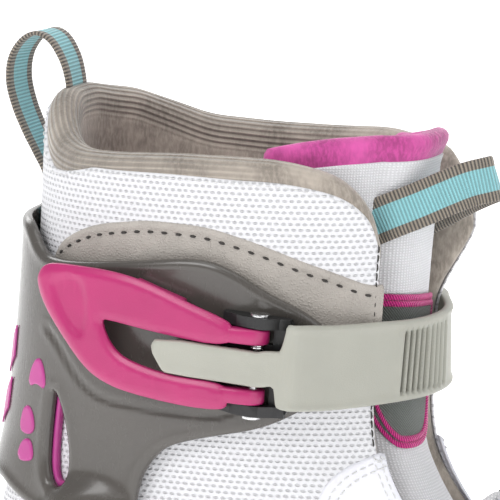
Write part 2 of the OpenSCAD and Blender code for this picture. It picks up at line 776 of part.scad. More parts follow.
// Angle that the badge sits round to the outer side
badge_turn = -9;
BADGE_A = [[0, 7], [0.05, 12], [0.15, 16.5], [0.3, 20], [0.6, 23], [0.92, 25], [0.97, 24], [1, 21]];

module tongue_badge() {
    color("slategray") difference() {
        wall(12, 8, function (u, v, d)
            let (a = badge_turn + lookup(u, BADGE_A) * (2 * v - 1))
            skin_at(on_leg(mix(187, 240 - 4 * v, u)), a, tongue_d(a) + 0.1 + d),
            0.1, 0.1 + badge_t);
        tongue_wall(-tongue_t - 3, lay_gap);
        collar_wall_between(-collar_wall - 1, lay_gap);
    }
}

// ---- webbing pull loops ----

webbing = [[-webbing_w / 2, -webbing_t / 2], [webbing_w / 2, -webbing_t / 2],
           [webbing_w / 2, webbing_t / 2], [-webbing_w / 2, webbing_t / 2]];
back_x = function (z) skin_at(on_leg(z), 180, 1)[0];
// The heel loop's middle line, as X from the middle of the collar and height
HEEL_PATH = [[-85, 301], [-84, 309], [-80, 315], [-75, 317.5], [-70, 315.5], [-66, 309.5], [-64, 303]];
HEEL_ROUTE = concat(
    [for (z = [246, 254, 262, 270]) [back_x(z) - 0.3, 0, on_leg(z)]],
    [for (p = concat([[-75.6, 277], [-79.3, 284], [-83, 292.5]], HEEL_PATH)) [leg_x + p[0], 0, on_leg(p[1])]],
    [for (z = [297, 286]) [slot_x, 0, on_leg(z)]]);

module heel_loop() {
    n = len(HEEL_ROUTE) - 1;
    along = steps(HEEL_ROUTE);
    across = [for (i = [0 : n]) unit([0.14 * max(0, sin(180 * (i - 2) / (n - 4))), 1, 0])];
    color("turquoise")
    sweep(HEEL_ROUTE, across, [for (i = [0 : n]) unit(cross(across[i], along[i]))], webbing);
}

LOOP_PATH = [[49.5, -21.3, 262], [52.4, -18.7, 263.5], [59, -18.6, 266.5], [66, -15.5, 269.5], [73, -10.5, 272.8],
             [79, -5, 275.4], [84, 0, 276.6], [85.6, 3.5, 276.8], [84, 7, 275.8], [78, 10, 273],
             [71, 13, 269.5], [64.5, 15.5, 265.8], [58.5, 16.9, 262.5], [54.8, 17.5, 260.5]];
LOOP_ROUTE = [for (p = LOOP_PATH) [leg_x + p[0], p[1] * leg_w / 94, on_leg(p[2])]];

module tongue_loop() {
    n = len(LOOP_ROUTE) - 1;
    along = steps(LOOP_ROUTE);
    lean = unit([-0.3, 0, 0.95]);
    across = [for (s = along) unit(lean - (lean * s) * s)];
    color("turquoise") difference() {
        sweep(LOOP_ROUTE, across, [for (i = [0 : n]) unit(cross(across[i], along[i]))], webbing);
        tongue_wall(-tongue_t - 3, lay_gap);
        collar_wall_between(-collar_wall - 1, lay_gap);
    }
}

// ---- cuff ----

// Side view of one side of the cuff, as X from the middle of the collar and height
ARM = [[-92, 259], [-66, 258.5], [-61, 256], [-56, 249.5], [-50, 247], [-20, 250.5], [3, 253.5], [14, 250],
       [24, 243], [33, 238.5], [40, 233], [42.6, 228], [43.4, 221], [42, 213], [39.5, 208], [35.5, 205],
       [21.5, 197], [3, 193], [-10, 189], [-15, 184], [-19, 178], [-21, 170], [-21, 163.5],
       [-56, 163.5], [-66, 165], [-92, 168]];
WINDOW = [[-62, 207], [-60, 212], [-56.5, 213.5], [-52.5, 211], [-50, 204], [-52.5, 190], [-54.5, 180],
          [-57, 174], [-60, 172.5], [-63.5, 175], [-64.5, 182], [-64, 195]];
function in_boot(points) = [for (p = points)
    [leg_x + p[0] * leg_len / 141, p[1] < 166 ? split_z + (p[1] - 160) : on_leg(p[1])]];

// Prism across the skate over a side view, from y0 to y1
module side_prism(points, y0, y1) {
    translate([0, y1, 0]) rotate([90, 0, 0]) linear_extrude(y1 - y0) polygon(in_boot(points));
}

cuff_a = 46;
buckle_tilt = 5;
buckle_yaw = 5;
buckle_x = leg_x + 0.156 * leg_len;
buckle_z = on_leg(220);
// The buckle's flat seat clears the cuff at its widest place under the base
buckle_y = skin_at(on_leg(237), 88, cuff_out)[1] - 24 * tan(buckle_yaw) + 0.4;

// Places its children in the buckle's frame: X forward along the strap, Y up and Z out
module at_buckle() {
    translate([buckle_x, -buckle_y, buckle_z]) rotate([90, buckle_tilt, buckle_yaw]) children();
}
function from_buckle(p) =
    let (x = p[0] * cos(buckle_tilt) + p[1] * sin(buckle_tilt),
         z = -p[0] * sin(buckle_tilt) + p[1] * cos(buckle_tilt))
    [buckle_x + x * cos(buckle_yaw) + p[2] * sin(buckle_yaw),
     -buckle_y + x * sin(buckle_yaw) - p[2] * cos(buckle_yaw),
     buckle_z + z];

base_rivet_at = [[9.4, 0], [-19, 0]];
screw_a = 84;
screw_z = on_leg(221);

// Places its children on the medial arm with Z out of the leg
module at_screw() {
    translate(skin_at(screw_z, screw_a, 0)) rotate([0, 0, heading(screw_z, screw_a) - 90]) rotate([0, 90, 0]) children();
}

module cuff_wall(d0, d1) {
    intersection() {
        wall(10, 44, function (u, v, d)
            skin_at(mix(split_z + 2, on_leg(262), u), mix(cuff_a, 360 - cuff_a, v), d), d0, d1);
        side_prism(ARM, -90, 90);
    }
}

module cuff() {
    color("dimgray")
    difference() {
        union() {
            cuff_wall(cuff_gap, cuff_out);
            for (side = [-1, 1]) {
                hull() {
                    pivot_disc(side, hub_in, hub_out, hub_r);
                    wall(1, 6, function (u, v, d)
                        skin_at(split_z + mix(18, 22, u),
                                side > 0 ? mix(pivot_a - 12, pivot_a + 12, v) : 360 - mix(pivot_a + 12, pivot_a - 12, v), d),
                        cuff_gap + 0.2, cuff_out);
                }
            }
            // flat seat under the buckle
            at_buckle() translate([-24, -18, -8]) linear_extrude(8) translate([0, 18]) rounded(38, 36, 5);
        }
        ankle_core(-1, split_z - 8, on_leg(250), cuff_gap);
        ankle_core(1, split_z - 8, on_leg(250), cuff_gap);
        for (side = [-1, 1]) {
            pivot_disc(side, 0, hub_in, ear_r + 1.5);
            pivot_disc(side, 0, hub_out + 5, pivot_r + run_gap);
            side_prism(WINDOW, side > 0 ? 0 : -90, side > 0 ? 90 : 0);
        }
        at_buckle() for (p = base_rivet_at) translate([p[0], p[1], -20]) cylinder(r = rivet_r + run_gap, h = 30);
        at_screw() cylinder(r = 2.05, h = 30);
    }
}

module spine_inlays() {
    color("deeppink")
    for (side = [-1, 1], row = [0, 1])
        wall(3, 3, function (u, v, d)
            let (fold = mix(153, 162, v) , z = on_leg(192 + 18 * row + 11 * u - 7 * v),
                 a = side > 0 ? fold : 360 - mix(162, 153, v))
            skin_at(side > 0 ? z : on_leg(192 + 18 * row + 11 * u - 7 * (1 - v)), a, d),
            cuff_out + 0.1, cuff_out + 0.7);
}

// ---- strap ----

tail_z = 6.2;
tail_y = -0.2;
tooth_h = 0.7;
strap_seat = cuff_out + 1.1;
STRAP_D = [[-66, 15], [-58, 11.5], [-50, 8], [-43, 5.2], [-36, 2.9], [-28, 1.4], [-20, 0.7], [22, 0.7],
           [30, 1.6], [37, 3.8], [43, 6.3], [49, strap_seat], [120, strap_seat]];
STRAP_ROUTE = concat(
    [for (x = [8, 13, 16.5]) from_buckle([x, 0.7, tail_z + tooth_h + strap_t / 2])],
    [for (a = [-54 : 8 : 94]) skin_at(on_leg(a < 0 ? 218.2 : 218.2 + a * 0.03), a,
        strap_t / 2 + (a > 48 ? strap_seat : lookup(a, STRAP_D) * cuff_out / 6.2))]);
strap_section = [[-strap_w / 2, -strap_t / 2], [strap_w / 2, -strap_t / 2],
                 [strap_w / 2, strap_t / 2], [-strap_w / 2, strap_t / 2]];

module strap() {
    n = len(STRAP_ROUTE) - 1;
    along = steps(STRAP_ROUTE);
    lean = unit([sin(buckle_tilt), 0, cos(buckle_tilt)]);
    across = [for (i = [0 : n]) let (up = mix(lean, [0, 0, 1], min(1, i / 8))) unit(up - (up * along[i]) * along[i])];
    half = tail_w / 2;
    color("darkgray")
    difference() {
        union() {
            sweep(STRAP_ROUTE, across, [for (i = [0 : n]) unit(cross(across[i], along[i]))], strap_section);
            at_buckle() {
                translate([0, tail_y, tail_z + tooth_h]) linear_extrude(strap_t) polygon([
                    [-33, 2], [-31, half], [12, half], [12, -half], [-27, -half], [-28.5, -half + 1.2]]);
                for (k = [0 : 9]) translate([-26.9 + 3 * k, tail_y, 0]) rotate([90, 0, 0])
                    linear_extrude(tail_w - 2, center = true)
                    polygon([[0, tail_z], [0.9, tail_z], [2.1, tail_z + tooth_h], [2.1, tail_z + tooth_h + 0.4], [0, tail_z + tooth_h + 0.4]]);
            }
        }
        collar_wall_between(-collar_wall - 4, 0.2 + panel_t + lay_gap);
        cuff_wall(-4, cuff_out + lay_gap);
        // narrow slots over the front
        for (k = [0 : 8]) let (a = -30 + 3.1 * k, p = skin_at(on_leg(218.2), a, 0))
            translate(p) rotate([0, 0, heading(on_leg(218.2), a) - 90]) rotate([-6, 0, 0])
            translate([0.5 + strap_t * 0.55, -0.45, -strap_w / 2 + 5]) cube([6, 0.9, strap_w - 10]);
        at_screw() cylinder(r = 2.05, h = 30);
    }
}

module strap_screw() {
    color("silver")
    at_screw() difference() {
        union() {
            translate([0, 0, cuff_gap - 1.5]) cylinder(r = 2, h = strap_seat + strap_t + 0.9 - cuff_gap + 1.5);
            translate([0, 0, strap_seat + strap_t + 0.5]) cylinder(r = 4.2, h = 1.8);
        }
        translate([0, 0, strap_seat + strap_t + 1.3]) cylinder(r = 1.6, h = 3, $fn = 6);
    }
}

module strap_nut() {
    color("silver")
    at_screw() translate([0, 0, cuff_gap - 2.1]) difference() {
        cylinder(r = 4.4, h = 1.5);
        translate([0, 0, -1]) cylinder(r = 2, h = 4);
    }
}

// ---- ratchet buckle ----

floor_t = 1.8;
pin_x = 2;
pin_z = 4.2;
arm_r = 3.9;
arm_in = tail_w / 2 + 1.7;
arm_out = arm_in + arm_w - 1.5;
ear_in = arm_out + face_gap;
ear_t = 3.6;

// Cylinder of radius r along the buckle's Y from y0 to y1
module along_pin(x, z, r, y0, y1) {
    translate([x, y1, z]) rotate([90, 0, 0]) cylinder(r = r, h = y1 - y0);
}

pawl_x = -13;
pawl_z = 3.9;
pawl_r = 1;
pawl_w = 8;

module buckle_base() {
    color("black")
    at_buckle() difference() {
        union() {
            translate([-11, 0, 0]) linear_extrude(floor_t) rounded(24, 2 * (ear_in + ear_t), 2.5);
            translate([-24, 0, 0]) linear_extrude(floor_t) rounded(20, 11, 4);
            for (side = [-1, 1]) translate([0, side > 0 ? ear_in + ear_t : -ear_in, 0]) rotate([90, 0, 0])
                linear_extrude(ear_t) polygon([
                    [-10.5, 0.5], [-10.5, 3.4], [-5, 6.4], [-1, 7.5], [2, 7.8], [5, 7.4], [9, 4.4], [12.4, 3], [12.4, 0.5]]);
            for (side = [-1, 1]) translate([0, side > 0 ? pawl_w / 2 + 0.3 + 1.2 : -pawl_w / 2 - 0.3, 0]) rotate([90, 0, 0])
                linear_extrude(1.2) polygon([[-16.5, 0.5], [-15.5, 4.6], [-13, 5.7], [-10.5, 4.6], [-9.5, 0.5]]);
        }
        // slots that the lever's arms swing through
        for (side = [-1, 1]) translate([pin_x - 6, side > 0 ? arm_in - 0.4 : -arm_out - 0.4, -1])
            cube([10.6, arm_out - arm_in + 0.8 - 0.3, 5]);
        along_pin(pin_x, pin_z, pin_r + run_gap, -30, 30);
        along_pin(pawl_x, pawl_z, pawl_r + run_gap, -30, 30);
        for (p = base_rivet_at) translate([p[0], p[1], -1]) cylinder(r = rivet_r + run_gap, h = 5);
    }
}

module buckle_rivets() {
    color("silver")
    at_buckle() for (p = base_rivet_at) translate([p[0], p[1], 0]) {
        translate([0, 0, floor_t]) cylinder(r = rivet_r * 1.5, h = 0.9);
        translate([0, 0, -5.4]) cylinder(r = rivet_r, h = 5.6 + floor_t);
    }
}

module lever_pin() {
    reach = ear_in + ear_t;
    color("silver")
    at_buckle() union() {
        along_pin(pin_x, pin_z, pin_r, -reach - 0.5, reach + 0.5);
        for (side = [-1, 1]) along_pin(pin_x, pin_z, 3.1, side > 0 ? reach : -reach - 1, side > 0 ? reach + 1 : -reach);
    }
}

// Outlines of the lever seen from outside, in the buckle's frame
LEVER = [[-75.7, 21.2], [-78.3, 17.5], [-78.4, 14], [-74.9, 7.3], [-68, 0], [-61, -6.7], [-57, -9.8], [-53, -12.1], [-46, -14.2],
         [-37.7, -15.1], [-27, -15.6], [-16.4, -15.8], [-6, -15], [-5, -12.6], [-5, -6.7], [-26.3, -7.1], [-41.2, -4.6],
         [-46.4, -2], [-50, 2.1], [-52.2, 7], [-50.5, 7.7], [-30.7, 6.6], [-5, 5.8], [-5, 13.2],
         [-11.4, 15.5], [-19.3, 17.5], [-30.9, 20.9], [-41.4, 23.1], [-52, 23.6], [-62, 23], [-70, 22.3]];
lever_top = 10.2;
lever_bend = 180;
lever_scale = lever_len / 85;

// Height of the lever's outer face over the cuff at x
function lever_z(x) = lever_top - pow(min(0, x + 4), 2) / (2 * lever_bend);

module lever() {
    color("deeppink")
    at_buckle() difference() {
        union() {
            intersection() {
                linear_extrude(60, center = true) polygon([for (p = LEVER)
                    [p[0] * (p[0] < -5 ? lever_scale : 1), p[1] * lever_w / 39]]);
                translate([0, 40, 0]) rotate([90, 0, 0]) linear_extrude(80) polygon(concat(
                    [for (k = [0 : 14]) let (x = mix(4, -80 * lever_scale, k / 14)) [x, lever_z(x)]],
                    [for (k = [14 : -1 : 0]) let (x = mix(4, -80 * lever_scale, k / 14)) [x, lever_z(x) - lever_t]]));
            }
            // arms down to the pin
            for (side = [-1, 1]) translate([0, side > 0 ? arm_out : -arm_in, 0]) rotate([90, 0, 0])
                linear_extrude(arm_out - arm_in) polygon([
                    [-16, lever_top - lever_t], [-16, lever_top - 0.5], [-4, lever_top], [2.5, lever_top - 1.4],
                    for (k = [0 : 8]) let (a = 60 - 25 * k) [pin_x + arm_r * cos(a), pin_z + arm_r * sin(a)],
                    [-8, lever_top - lever_t]]);
        }
        along_pin(pin_x, pin_z, pin_r + run_gap, -30, 30);
    }
}

module lever_spring() {
    color("silver")
    at_buckle() translate([pin_x, tail_w / 2 + 0.2 - 0.6, pin_z]) rotate([-90, 0, 0])
        coil(0.5, pin_r + 0.35, 2, 0.3, 1.5);
}

module pawl() {
    color("deeppink")
    at_buckle() difference() {
        translate([0, pawl_w / 2, 0]) rotate([90, 0, 0]) linear_extrude(pawl_w) polygon([
            [-15.2, 3.6], [-14, 5.2], [-12, 5.4], [-5.2, 5.9], [-3.6, 6.6], [-3.4, 5.6], [-4.6, 3.5], [-9, 2.9], [-13.4, 2.4]]);
        along_pin(pawl_x, pawl_z, pawl_r + run_gap, -30, 30);
    }
}

module pawl_pin() {
    color("silver") at_buckle() along_pin(pawl_x, pawl_z, pawl_r, -pawl_w / 2 - 1.5, pawl_w / 2 + 1.5);
}

module pawl_spring() {
    color("silver")
    at_buckle() translate([0, 2, 0]) rotate([90, 0, 0]) linear_extrude(4)
        polygon([[-14, floor_t + 0.02], [-6, floor_t + 0.02], [-5.4, 3.2], [-5.8, 3.3], [-6.4, floor_t + 0.35], [-14, floor_t + 0.35]]);
}

// ---- what the skate is made of ----

runner();
runner_bolts();
blade_holder();
sole_plate();
sole_rivets();
footbed();
vamp();
quarters();
toe_cap();
heel_counter();
tongue_lower();
eyestay(-1);  // eyestay_lateral
eyestay(1);  // eyestay_medial
eyelets();
lace();
lace_lock();
lace_lock_button();
lace_lock_spring();
lace_pull_tab();
pivot_pin(-1);  // pivot_pin_lateral
pivot_pin(1);  // pivot_pin_medial
collar();
collar_panel(-1);  // collar_panel_lateral
collar_panel(1);  // collar_panel_medial
tongue_upper();
tongue_badge();
tongue_loop();
heel_loop();
cuff();
spine_inlays();
strap();
strap_screw();
strap_nut();
buckle_base();
buckle_rivets();
lever();
lever_pin();
lever_spring();
pawl();
pawl_pin();
pawl_spring();
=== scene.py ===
"""Looks of a recreational ice skate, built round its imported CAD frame.

X points to the toe, Y to the inner side of the foot and Z up from the ice. Shapes are worked out in
millimetres on the boot's skin, which is the surface that the CAD solids share, and become metres when a
mesh is made.
"""

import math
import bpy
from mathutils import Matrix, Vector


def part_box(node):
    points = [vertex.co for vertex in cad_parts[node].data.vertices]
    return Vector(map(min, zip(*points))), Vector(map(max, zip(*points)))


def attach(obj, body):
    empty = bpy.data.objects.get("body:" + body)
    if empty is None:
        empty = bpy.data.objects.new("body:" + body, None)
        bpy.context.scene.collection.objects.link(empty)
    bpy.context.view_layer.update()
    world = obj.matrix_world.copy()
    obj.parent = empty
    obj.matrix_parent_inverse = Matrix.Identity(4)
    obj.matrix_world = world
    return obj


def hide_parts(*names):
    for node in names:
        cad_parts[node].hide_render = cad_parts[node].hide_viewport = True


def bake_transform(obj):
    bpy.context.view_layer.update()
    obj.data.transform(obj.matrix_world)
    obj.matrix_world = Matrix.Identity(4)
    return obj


bl_info = {
    "name": "Ice skate",
    "version": (1, 0, 0),
    "blender": (4, 5, 0),
    "location": "View3D > Sidebar > Skate",
    "description": "Builds the fabric, leather, plastic and steel of an ice skate round its CAD frame",
    "category": "Object",
}

import bpy
import numpy as np
from bpy.props import FloatProperty, FloatVectorProperty, PointerProperty
from mathutils import Vector
from mathutils.geometry import delaunay_2d_cdt

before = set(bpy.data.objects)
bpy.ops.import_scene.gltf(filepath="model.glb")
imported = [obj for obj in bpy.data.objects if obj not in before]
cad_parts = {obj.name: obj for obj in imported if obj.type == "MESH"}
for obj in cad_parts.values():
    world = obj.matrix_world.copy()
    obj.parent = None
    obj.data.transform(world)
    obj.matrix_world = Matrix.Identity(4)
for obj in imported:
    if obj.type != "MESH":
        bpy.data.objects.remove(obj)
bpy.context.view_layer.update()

MM = 0.001
BOOT = "boot"
CUFF = "cuff_group"


def box_mm(node):
    """Lowest and highest corner of a CAD node, in millimetres."""
    low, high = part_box(node)
    return np.array(low) / MM, np.array(high) / MM


# ---- sizes from the frame ----

sole_z = box_mm("sole_plate")[1][2]
heel_x = -140.0
toe_x = 147.0
boot_w = 100.0
collar_h = box_mm("collar")[1][2]
leg_x = -43.0
leg_len = 141.0
leg_w = 94.0
ankle_z = sole_z + 96
leg_rise = collar_h - ankle_z
split_z = sole_z + 94
pivot = np.mean(box_mm("pivot_pin_lateral"), axis=0) * (1, 0, 1)
collar_wall = 11.0
rim_r = collar_wall / 2
upper_wall = 7.0
face_gap = 0.3
counter_t = 2.5
cuff_gap = counter_t + 0.7
cuff_t = 3.0
cuff_out = cuff_gap + cuff_t
flap_lateral = 31.0
flap_medial = 27.0
throat_a = 30.0
tongue_in = collar_wall + face_gap
tongue_t = 9.0
tongue_wing = 76.0
squareness = 0.87
toe_bend = 5.0
strap_w = 26.0
strap_t = 2.6
webbing_w = 15.0
webbing_t = 1.6
lace_d = 3.2
eyelets_n = 5

LEVELS = np.array([
    [sole_z, toe_x - 20, heel_x + 17, 0.38 * boot_w, 0.12],
    [sole_z + 10, toe_x - 6, heel_x + 6, 0.46 * boot_w, 0.10],
    [sole_z + 26, toe_x, heel_x + 1, 0.50 * boot_w, 0.12],
    [sole_z + 42, toe_x - 6, heel_x, 0.49 * boot_w, 0.12],
    [sole_z + 56, toe_x - 25, heel_x + 1, 0.46 * boot_w, 0.10],
    [sole_z + 68, toe_x - 55, heel_x + 3, 0.435 * boot_w, 0.06],
    [sole_z + 80, toe_x - 85, heel_x + 6, 0.415 * boot_w, 0.03],
    [ankle_z, toe_x - 109, heel_x + 10, 0.41 * boot_w, 0],
    [ankle_z + 0.16 * leg_rise, leg_x + 0.48 * leg_len, leg_x - 0.575 * leg_len, 0.43 * leg_w, 0],
    [ankle_z + 0.36 * leg_rise, leg_x + 0.465 * leg_len, leg_x - 0.54 * leg_len, 0.455 * leg_w, 0],
    [ankle_z + 0.61 * leg_rise, leg_x + 0.48 * leg_len, leg_x - 0.515 * leg_len, 0.48 * leg_w, 0],
    [ankle_z + 0.84 * leg_rise, leg_x + 0.50 * leg_len, leg_x - 0.50 * leg_len, 0.50 * leg_w, 0],
    [collar_h, leg_x + 0.51 * leg_len, leg_x - 0.49 * leg_len, 0.51 * leg_w, 0],
])
TOP = len(LEVELS) - 1


# ---- the boot's skin ----


def mix(a, b, f):
    """Straight blend from a to b."""
    return a + (b - a) * f


def smooth(f):
    """0 below 0, 1 above 1 and a soft step between."""
    f = np.clip(f, 0, 1)
    return f * f * (3 - 2 * f)


def level(z):
    """Level number of a height."""
    return np.interp(z, LEVELS[:, 0], np.arange(TOP + 1))


def column_at(t, column):
    """One of the outline's sizes at level t, on a smooth curve through the levels."""
    i = np.clip(np.floor(t).astype(int), 0, TOP - 1)
    f = t - i
    a, b, c, d = (LEVELS[np.clip(i + k, 0, TOP), column] for k in (-1, 0, 1, 2))
    return 0.5 * (2 * b + (c - a) * f + (2 * a - 5 * b + 4 * c - d) * f**2 + (3 * b - a - 3 * c + d) * f**3)


def shaped(x):
    """Cosine or sine, squared up a little."""
    return np.sign(x) * np.abs(x) ** squareness


def skin(z, a, d):
    """Points on the boot at height z and angle a from the toe, moved out by d."""
    z, a, d = np.broadcast_arrays(*(np.asarray(x, float) for x in (z, a, d)))
    t = level(z)
    front, back = column_at(t, 1) + d, column_at(t, 2) - d
    c, s = shaped(np.cos(np.radians(a))), shaped(np.sin(np.radians(a)))
    x = (front + back) / 2 + (front - back) / 2 * c
    half = (column_at(t, 3) + d) * (1 + column_at(t, 4) * np.cos(np.radians(a)))
    y = half * s + toe_bend * (np.maximum(0, x) / toe_x) ** 2
    return np.stack([x, y, z], -1)


def angle_at(z, x):
    """Angle from the toe of the skin's point at height z and x."""
    t = level(np.asarray(z, float))
    front, back = column_at(t, 1), column_at(t, 2)
    f = np.clip((x - (front + back) / 2) / ((front - back) / 2), -1, 1)
    return np.degrees(np.arccos(np.sign(f) * np.abs(f) ** (1 / squareness)))


def on_leg(z):
    """Height on this boot of a feature that is z high on a boot with a 300 mm collar."""
    return ankle_z + (z - 162) * leg_rise / 138


RIMS = {
    1: np.array([[0, 60], [27, 44], [31, 30], [35, 21], [42, 16], [50, 15], [60, 13.8], [80, 15], [95, 15],
                 [115, 13.4], [130, 8.4], [145, 3.8], [160, 2], [172, 0], [180, 0]]),
    -1: np.array([[0, 60], [27, 46], [30, 41], [34, 34], [39, 28], [44, 23], [51, 19], [62, 16], [70, 14.5],
                  [80, 14], [95, 14], [115, 15.5], [130, 16], [142, 14], [152, 9], [162, 3],
                  [172, 0], [180, 0]]),
}


def rim_z(a):
    """Height of the collar's rim at angle a, inner side below 180 and outer side above."""
    a = np.asarray(a, float)
    fold = np.where(a > 180, 360 - a, a)
    drops = []
    for k in (-4, -2, 0, 2, 4):
        inner, outer = (np.interp(fold + k, RIMS[side][:, 0], RIMS[side][:, 1]) for side in (1, -1))
        drops.append(np.where(a > 180, outer, inner))
    return collar_h - leg_rise / 138 * np.mean(drops, axis=0)


def flap_a(z, side):
    """Angle of the throat's edge at height z, on the outer side (-1) or the inner side (1)."""
    top = flap_lateral if side < 0 else flap_medial
    return mix(30.0, top, smooth((z - sole_z - 84) / 36))


def flare(z, a):
    """How far the inner side's flap stands open at its front edge."""
    near = np.maximum(0, 1 - (a - flap_medial) / 28) ** 1.5 * (a < 90)
    return 13 * near * smooth((z - on_leg(228)) / 32)


# ---- meshes ----


def add_object(name, verts, faces, body, slot=None, replaces=(), uv=None, attributes=None, sharp=None):
    """A mesh object from points in millimetres, with UVs in metres, riding on a body."""
    mesh = bpy.data.meshes.new(name)
    mesh.from_pydata((np.asarray(verts) * MM).tolist(), [], [list(map(int, f)) for f in faces])
    if uv is not None:
        layer = mesh.uv_layers.new(name="UVMap")
        index = np.empty(len(mesh.loops), int)
        mesh.loops.foreach_get("vertex_index", index)
        layer.data.foreach_set("uv", (np.asarray(uv)[index] * MM).astype(np.float32).ravel())
    for key, values in (attributes or {}).items():
        mesh.attributes.new(key, "FLOAT", "POINT").data.foreach_set("value", np.asarray(values, np.float32))
    mesh.validate()
    mesh.shade_smooth()
    if sharp:
        mesh.set_sharp_from_angle(angle=math.radians(sharp))
    obj = bpy.data.objects.new(name, mesh)
    bpy.context.scene.collection.objects.link(obj)
    if body:
        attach(obj, body)
    if replaces:
        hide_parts(*replaces)
    return obj


def grid_faces(rows, cols, start=0, flip=False, wrap=False):
    """Quads of a grid of points stored row by row."""
    faces = []
    for i in range(rows - 1):
        for j in range(cols if wrap else cols - 1):
            k = (j + 1) % cols
            low, high = start + i * cols, start + (i + 1) * cols
            quad = [low + j, low + k, high + k, high + j]
            faces.append(quad[::-1] if flip else quad)
    return faces


def resample(points, step, closed=True):
    """Points spaced evenly along a line, about step apart."""
    points = np.asarray(points, float)
    if closed:
        points = np.vstack([points, points[:1]])
    length = np.concatenate([[0], np.cumsum(np.linalg.norm(np.diff(points, axis=0), axis=1))])
    count = max(8, int(round(length[-1] / step)))
    at = np.linspace(0, length[-1], count + 1)
    line = np.stack([np.interp(at, length, points[:, k]) for k in range(points.shape[1])], 1)
    return line[:-1] if closed else line


def rounded_line(points, closed=True, times=3):
    """Corner-cutting curve through a coarse outline."""
    points = np.asarray(points, float)
    for _ in range(times):
        after = np.roll(points, -1, axis=0)
        if not closed:
            after = after[:-1]
        first = points if closed else points[:-1]
        cut = np.stack([mix(first, after, 0.25), mix(first, after, 0.75)], 1).reshape(-1, points.shape[1])
        points = cut if closed else np.vstack([points[:1], cut[1:-1], points[-1:]])
    return points


def edge_distance(points, loops):
    """Distance of 2D points from the nearest edge of closed loops."""
    best = np.full(len(points), 1e9)
    for loop in loops:
        a, b = loop, np.roll(loop, -1, axis=0)
        ab = b - a
        for k in range(0, len(points), 4000):
            p = points[k:k + 4000, None]
            f = np.clip(((p - a) * ab).sum(-1) / np.maximum((ab**2).sum(-1), 1e-12), 0, 1)
            gap = np.linalg.norm(p - a - f[..., None] * ab, axis=-1).min(1)
            best[k:k + 4000] = np.minimum(best[k:k + 4000], gap)
    return best


def inside(points, loop):
    """Which 2D points lie inside a closed loop."""
    x, y = points[:, 0][:, None], points[:, 1][:, None]
    (x0, y0), (x1, y1) = loop.T, np.roll(loop, -1, axis=0).T
    with np.errstate(divide="ignore", invalid="ignore"):
        hit = ((y0 > y) != (y1 > y)) & (x < (x1 - x0) * (y - y0) / (y1 - y0) + x0)
    return hit.sum(1) % 2 == 1


def panel_mesh(place, outline, top, bottom, holes=(), step=2.0, rings=(0.25, 0.7, 1.4)):
    """A closed panel cut to a 2D outline with holes.

    place(u, v, d) puts a point of the panel in space, d out of the surface it lies on. top(e, u, v) and
    bottom(e, u, v) give d on the two faces, where e is the distance from the panel's edge.
    """
    loops = [resample(outline, step)] + [resample(hole, step) for hole in holes]
    border = np.vstack(loops)
    ring_points = []
    for loop in loops:
        along = np.roll(loop, -1, axis=0) - np.roll(loop, 1, axis=0)
        n = np.stack([-along[:, 1], along[:, 0]], 1)
        n /= np.maximum(np.linalg.norm(n, axis=1, keepdims=True), 1e-9)
        for e in rings:
            ring_points += [loop + n * e, loop - n * e]
    ring_points = np.vstack(ring_points)
    low, high = loops[0].min(0), loops[0].max(0)
    xs = np.arange(low[0] + step / 2, high[0], step)
    ys = np.arange(low[1] + step / 2, high[1], step * 0.866)
    gx, gy = np.meshgrid(xs, ys)
    gx[1::2] += step / 2
    inner = np.stack([gx.ravel(), gy.ravel()], 1)

    def kept(points, least):
        ok = inside(points, loops[0])
        for hole in loops[1:]:
            ok &= ~inside(points, hole)
        points = points[ok]
        e = edge_distance(points, loops)
        return points[e >= least(e)]

    ring_distance = np.array(rings)
    ring_points = kept(
        ring_points, lambda e: 0.97 * ring_distance[np.abs(ring_distance[:, None] - e).argmin(0)])
    inner = kept(inner, lambda e: np.full(len(e), rings[-1] + step * 0.45))
    flat = np.vstack([border, ring_points, inner])
    edges, start = [], 0
    for loop in loops:
        n = len(loop)
        edges += [(start + i, start + (i + 1) % n) for i in range(n)]
        start += n
    verts, _, tris, *_ = delaunay_2d_cdt([Vector(p) for p in flat], edges, [], 0, 1e-5)
    flat = np.array([tuple(v) for v in verts])
    tris = np.array([list(t) for t in tris])
    middle = flat[tris].mean(1)
    ok = inside(middle, loops[0])
    for hole in loops[1:]:
        ok &= ~inside(middle, hole)
    tris = tris[ok]
    a, b, c = (flat[tris[:, k]] for k in range(3))
    turned = (b[:, 0] - a[:, 0]) * (c[:, 1] - a[:, 1]) - (b[:, 1] - a[:, 1]) * (c[:, 0] - a[:, 0]) < 0
    tris[turned] = tris[turned][:, ::-1]
    e = edge_distance(flat, loops)
    u, v = flat.T
    upper, lower = place(u, v, top(e, u, v)), place(u, v, bottom(e, u, v))
    n = len(flat)
    used = {}
    for t in tris:
        for i, j in ((t[0], t[1]), (t[1], t[2]), (t[2], t[0])):
            used[(i, j)] = True
    walls = [[j, i, i + n, j + n] for i, j in used if (j, i) not in used]
    faces = [list(t) for t in tris] + [[t[0] + n, t[2] + n, t[1] + n] for t in tris] + walls
    return np.vstack([upper, lower]), faces, np.vstack([flat, flat]), np.concatenate([e, e])


def round_edge(e, radius):
    """How far a rounded edge falls away at distance e from the edge."""
    f = np.clip(1 - e / radius, 0, 1)
    return radius * (1 - np.sqrt(1 - f**2))


def flat_face(d):
    """A panel's face that keeps the distance d out of the surface."""
    return lambda e, u, v: e * 0 + d


def soft_face(d, radius):
    """A panel's face at the distance d, with rounded edges."""
    return lambda e, u, v: d - round_edge(e, radius)


